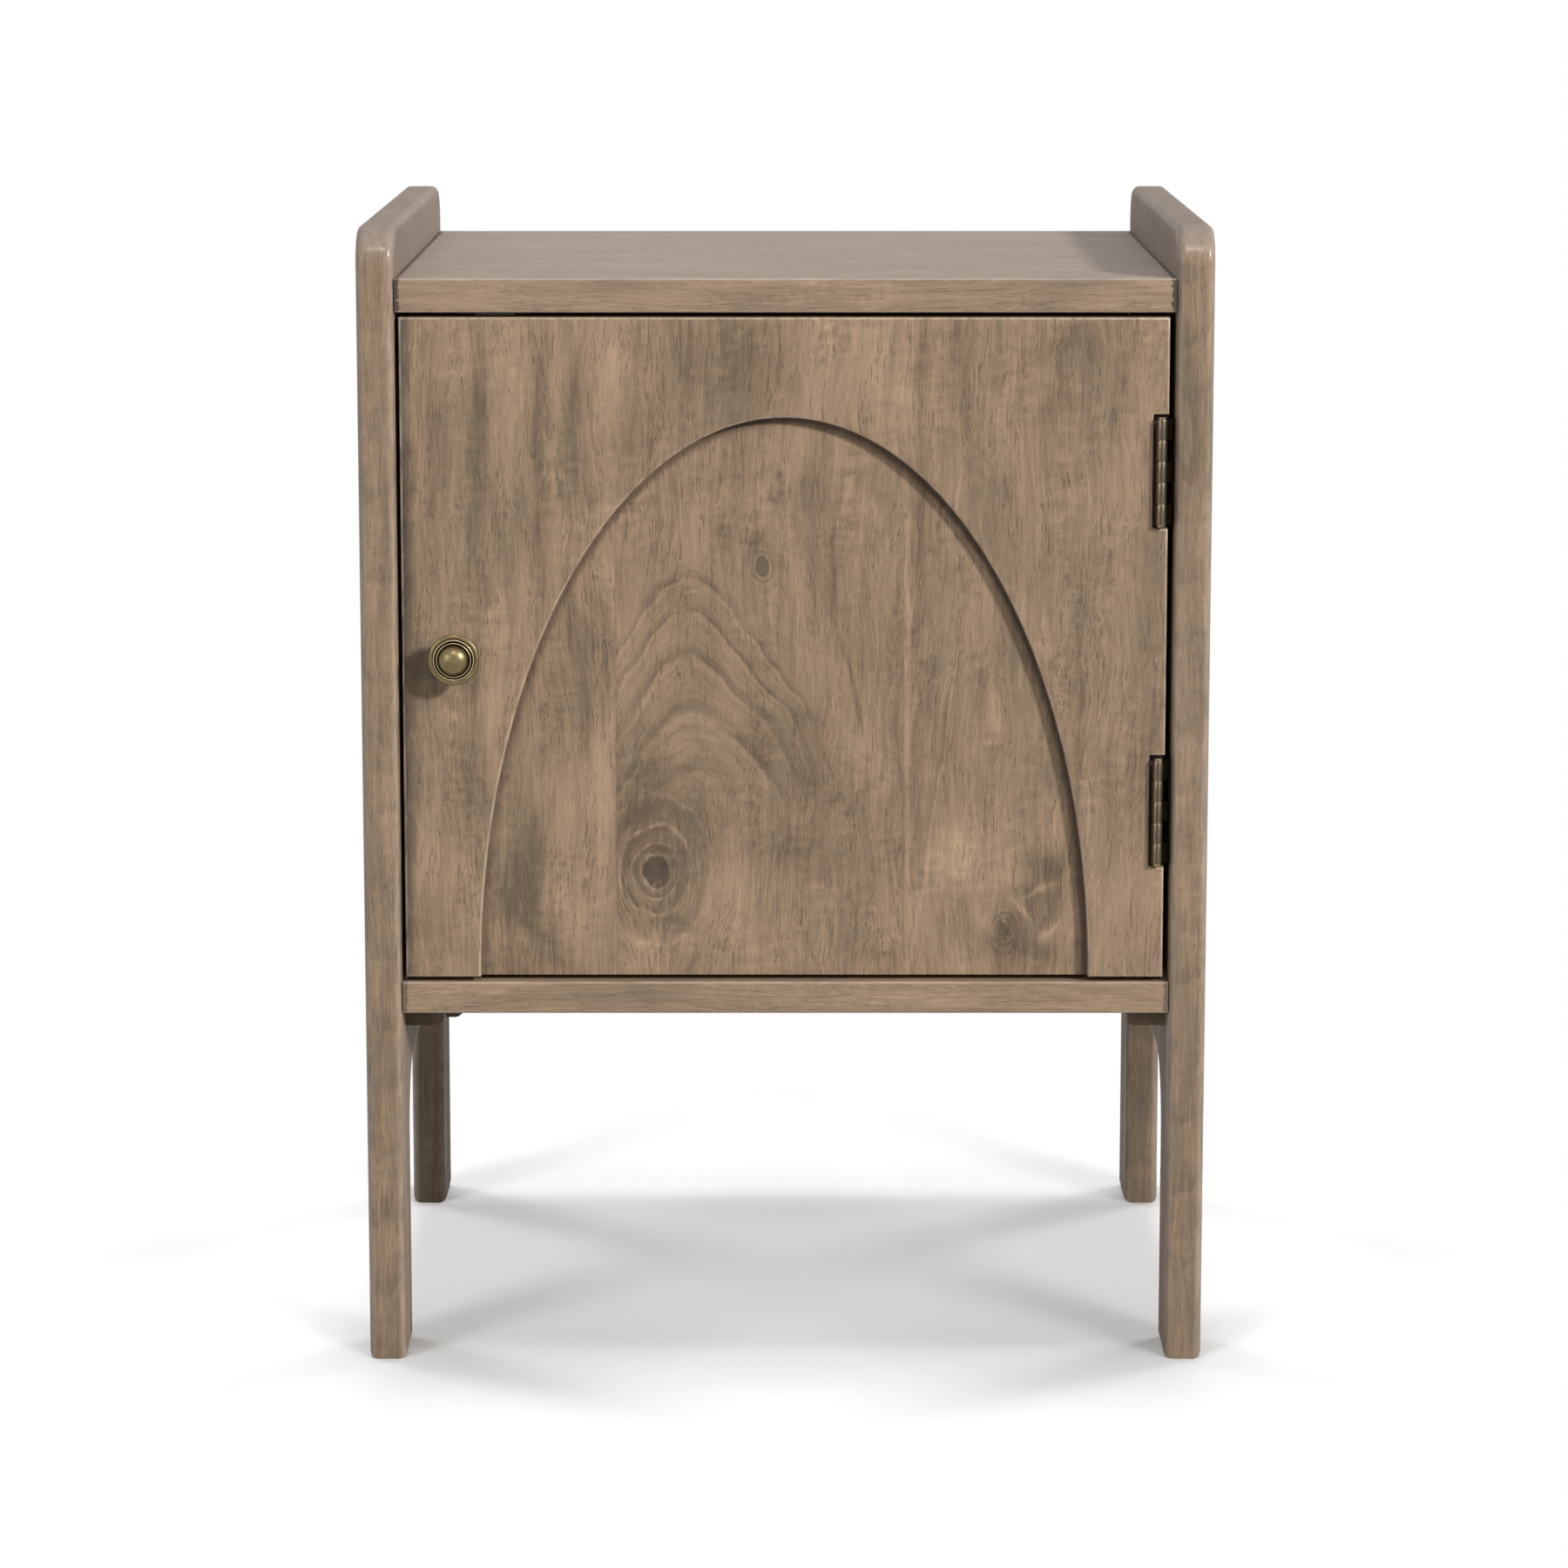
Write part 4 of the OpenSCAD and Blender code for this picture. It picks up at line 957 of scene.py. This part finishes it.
def knob_profile(length):
    """Rows of distance from the door, radius and wear, in millimetres, from the door out to the dome's top.
    The dome is an ellipse's quarter, and each ring is half a circle between two grooves."""
    rows = [(0, 0.0, 0.3), (0, 7.6, 0.3), (0.4, 8.0, 0.6), (1.5, 8.0, 0.5), (3.2, 6.2, 0.3), (5.0, 5.5, 0.3),
            (10.5, 5.5, 0.3), (12.5, 7.0, 0.3), (14.6, 11.5, 0.3), (15.7, 15.4, 0.3), (16.5, 16.6, 0.4),
            (17.3, 16.8, 0.5), (18.1, 16.4, 0.6), (18.5, 15.7, 0.45), (18.5, 14.6, 0.4), (18.1, 13.9, 0.1)]
    for centre, across, base in ((13.1, 0.65, 18.4), (11.1, 0.55, 18.9)):
        for a in np.linspace(0, math.pi, RING_STEPS):
            rows.append((base + across * math.sin(a), centre + across * math.cos(a), 0.2 + 0.8 * math.sin(a)))
        rows.append((base - 0.6, centre - across - 0.3, 0.0))
    for a in np.linspace(0.06, math.pi / 2, DOME_STEPS):
        out = DOME_FOOT + (length - DOME_FOOT) * math.sin(a)
        rows.append((out, DOME_RADIUS * math.cos(a), 0.2 + 0.45 * math.sin(a)))
    return np.array(rows)


def turned(name, profile, centre, body, material):
    """A profile turned round an axis that points at the viewer, -Y: X is the radius times the cosine, Z the
    radius times the sine. The profile's two ends lie on the axis, and one flat face stands for each."""
    angles = np.linspace(0, 2 * math.pi, KNOB_SEGMENTS, endpoint=False)
    rings = profile[1:-1]
    along, radius = rings[:, :1] / 1000, rings[:, 1:2] / 1000
    points = np.stack([
        centre[0] + radius * np.cos(angles),
        centre[1] - along + 0 * angles,
        centre[2] + radius * np.sin(angles)], -1).reshape(-1, 3)
    faces = tube_faces(len(rings), KNOB_SEGMENTS).tolist()
    last = (len(rings) - 1) * KNOB_SEGMENTS
    faces.append(list(range(KNOB_SEGMENTS))[::-1])
    faces.append(list(range(last, last + KNOB_SEGMENTS)))
    wear = np.repeat(rings[:, 2], KNOB_SEGMENTS)
    return finish_mesh(name, points, faces, wear, body, material)


low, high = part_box("knob")
knob_centre = ((low.x + high.x) / 2, high.y, (low.z + high.z) / 2)
brass = metal("antique_brass", BRASS, BRASS_DARK, 0.33, BRASS_RUBBED, mottling=0.25)
knob = turned("knob_turned", knob_profile((high.y - low.y) * 1000), knob_centre, "door", brass)
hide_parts("knob")

# Hinges
# Two butt hinges of dark bronze, with five knuckles each on a loose pin. The barrels have painted highlights
# down their fronts and at the knuckles' ends, and the leaves are painted nearly black as shade where the gap
# beside the door hides them.
HINGE_EASE = 0.00025
WELD_REACH = 0.00001
BEVEL_SEGMENTS = 2
BEVEL_CORNER = 40
KNUCKLES = 5
# Painted highlight and painted shade of the barrels and leaves are among these colours
BRONZE = (0.108, 0.081, 0.053, 1)
BRONZE_DARK = (0.018, 0.014, 0.01, 1)
BRONZE_PAINTED_HIGHLIGHT = (0.295, 0.228, 0.15, 1)
PIN_BRONZE = (0.33, 0.265, 0.16, 1)
PIN_BRONZE_DARK = (0.12, 0.09, 0.055, 1)
GAP_PAINTED_SHADE = (0.004, 0.003, 0.002, 1)
HIGHLIGHT_BANDS_AT = (-0.0018, 0.0008)


def soften(node_name, width):
    """Rounds the edges of a part as it was cast or cut, after its triangles are welded into one surface."""
    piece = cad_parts[node_name]
    weld = piece.modifiers.new("weld", "WELD")
    weld.merge_threshold = WELD_REACH
    bevel = piece.modifiers.new("ease", "BEVEL")
    bevel.width = width
    bevel.segments = BEVEL_SEGMENTS
    bevel.limit_method = "ANGLE"
    bevel.angle_limit = math.radians(BEVEL_CORNER)


def barrel_bronze(level):
    """Bronze of one hinge, with painted highlights: two bands down the barrel's front, and a glint ring at
    each knuckle's end, where the height over the knuckles' pitch is whole. Beside the panel and behind the
    panels' front it is painted nearly black, as shade."""
    pin_low, pin_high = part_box(f"hinge_{level}_pin")
    leaf_low, leaf_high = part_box(f"hinge_{level}_frame_leaf")
    material = metal(f"dark_bronze_{level}", BRONZE, BRONZE_DARK, 0.3, mottling=0.4)
    tree = material.node_tree
    shader = next(node for node in tree.nodes if node.type == "BSDF_PRINCIPLED")
    patina = shader.inputs["Base Color"].links[0].from_socket
    x, y, z = apart(tree, object_place(tree))
    across = minus(tree, x, (pin_low.x + pin_high.x) / 2)
    # Painted highlights: two bands down the barrel's front
    left, right = (maths(tree, "ABSOLUTE", minus(tree, across, at)) for at in HIGHLIGHT_BANDS_AT)
    painted_bands = ramp(tree, maths(tree, "MINIMUM", left, right), 0.0001, 0.0009, 0.42, 0.0)
    pitch = (leaf_high.z - leaf_low.z) / KNUCKLES
    part = maths(tree, "FRACT", maths(tree, "DIVIDE", minus(tree, z, leaf_low.z), pitch))
    from_end = maths(tree, "MINIMUM", part, minus(tree, 1.0, part))
    on_front = ramp(tree, maths(tree, "ABSOLUTE", across), 0.0014, 0.0028, 1.0, 0.0)
    # ring is a painted glint at each knuckle's end
    ring = times(tree, ramp(tree, from_end, 0.022, 0.036, 0.9, 0.0), on_front)
    colour = blend_colours(tree, maths(tree, "MAXIMUM", painted_bands, ring), patina, BRONZE_PAINTED_HIGHLIGHT)
    # Painted shade: nearly black behind the panels' front and beside the panel
    behind = ramp(tree, y, front_y - 0.001, front_y + 0.0005, 0.0, 0.97)
    beside = ramp(tree, across, 0.0014, 0.0034, 0.0, 0.85)
    painted_gap_shade = maths(tree, "MAXIMUM", behind, beside)
    tree.links.new(blend_colours(tree, painted_gap_shade, colour, GAP_PAINTED_SHADE), shader.inputs["Base Color"])
    return material


bronze = metal("dark_bronze", BRONZE, BRONZE_DARK, 0.3)
pin_bronze = metal("pin_bronze", PIN_BRONZE, PIN_BRONZE_DARK, 0.3)
for level in ("upper", "lower"):
    knuckle_bronze = barrel_bronze(level)
    for part, finish in (("frame_leaf", knuckle_bronze), ("door_leaf", knuckle_bronze), ("pin", pin_bronze)):
        dress(f"hinge_{level}_{part}", finish)
        soften(f"hinge_{level}_{part}", HINGE_EASE)

# Screws, pins, catch and dowels
# Plated steel screws, steel shelf pins, a magnetic catch in a dark plastic case with its strike plate, and
# fluted beech dowels inside the joints.
PLASTIC = (0.03, 0.024, 0.02, 1)
PLASTIC_PALE = (0.046, 0.038, 0.032, 1)
PLASTIC_GRAIN = 0.00004
BEECH = (0.62, 0.42, 0.24, 1)


def moulded_plastic():
    """Dark plastic with a fine spark-eroded grain."""
    material, tree = empty_material("catch_plastic")
    speck = noise(tree, board_space(tree, UPRIGHT_FRONT, (0, 0, 0)), (0.6, 0.6, 0.6))
    colour = blend_colours(tree, ramp(tree, speck, 0.3, 0.7), PLASTIC, PLASTIC_PALE)
    finish_surface(tree, speck, PLASTIC_GRAIN, FINE_STRENGTH, {"Base Color": colour, "Roughness": 0.5})
    return material


SMALL_PARTS = (
    (metal("plated_steel", (0.56, 0.56, 0.57, 1), (0.33, 0.325, 0.32, 1), 0.28),
     ("shelf_pins", "batten_screws", "back_panel_screws", "catch_screws", "knob_screw", "strike_plate",
      "strike_screw")),
    (bronze, ("frame_leaf_screws", "door_leaf_screws")),
    (metal("magnet_plating", (0.42, 0.42, 0.43, 1), (0.24, 0.24, 0.245, 1), 0.35), ("catch_magnet",)),
    (moulded_plastic(), ("catch_body",)),
    (stained_wood("beech_dowel", ACROSS, (0, 0, 0), streaks=0.3, rubbed=0.0, tint=tinted(0.8, BEECH)),
     ("top_dowels", "bottom_dowels")),
)
for finish, node_names in SMALL_PARTS:
    for node_name in node_names:
        dress(node_name, finish)
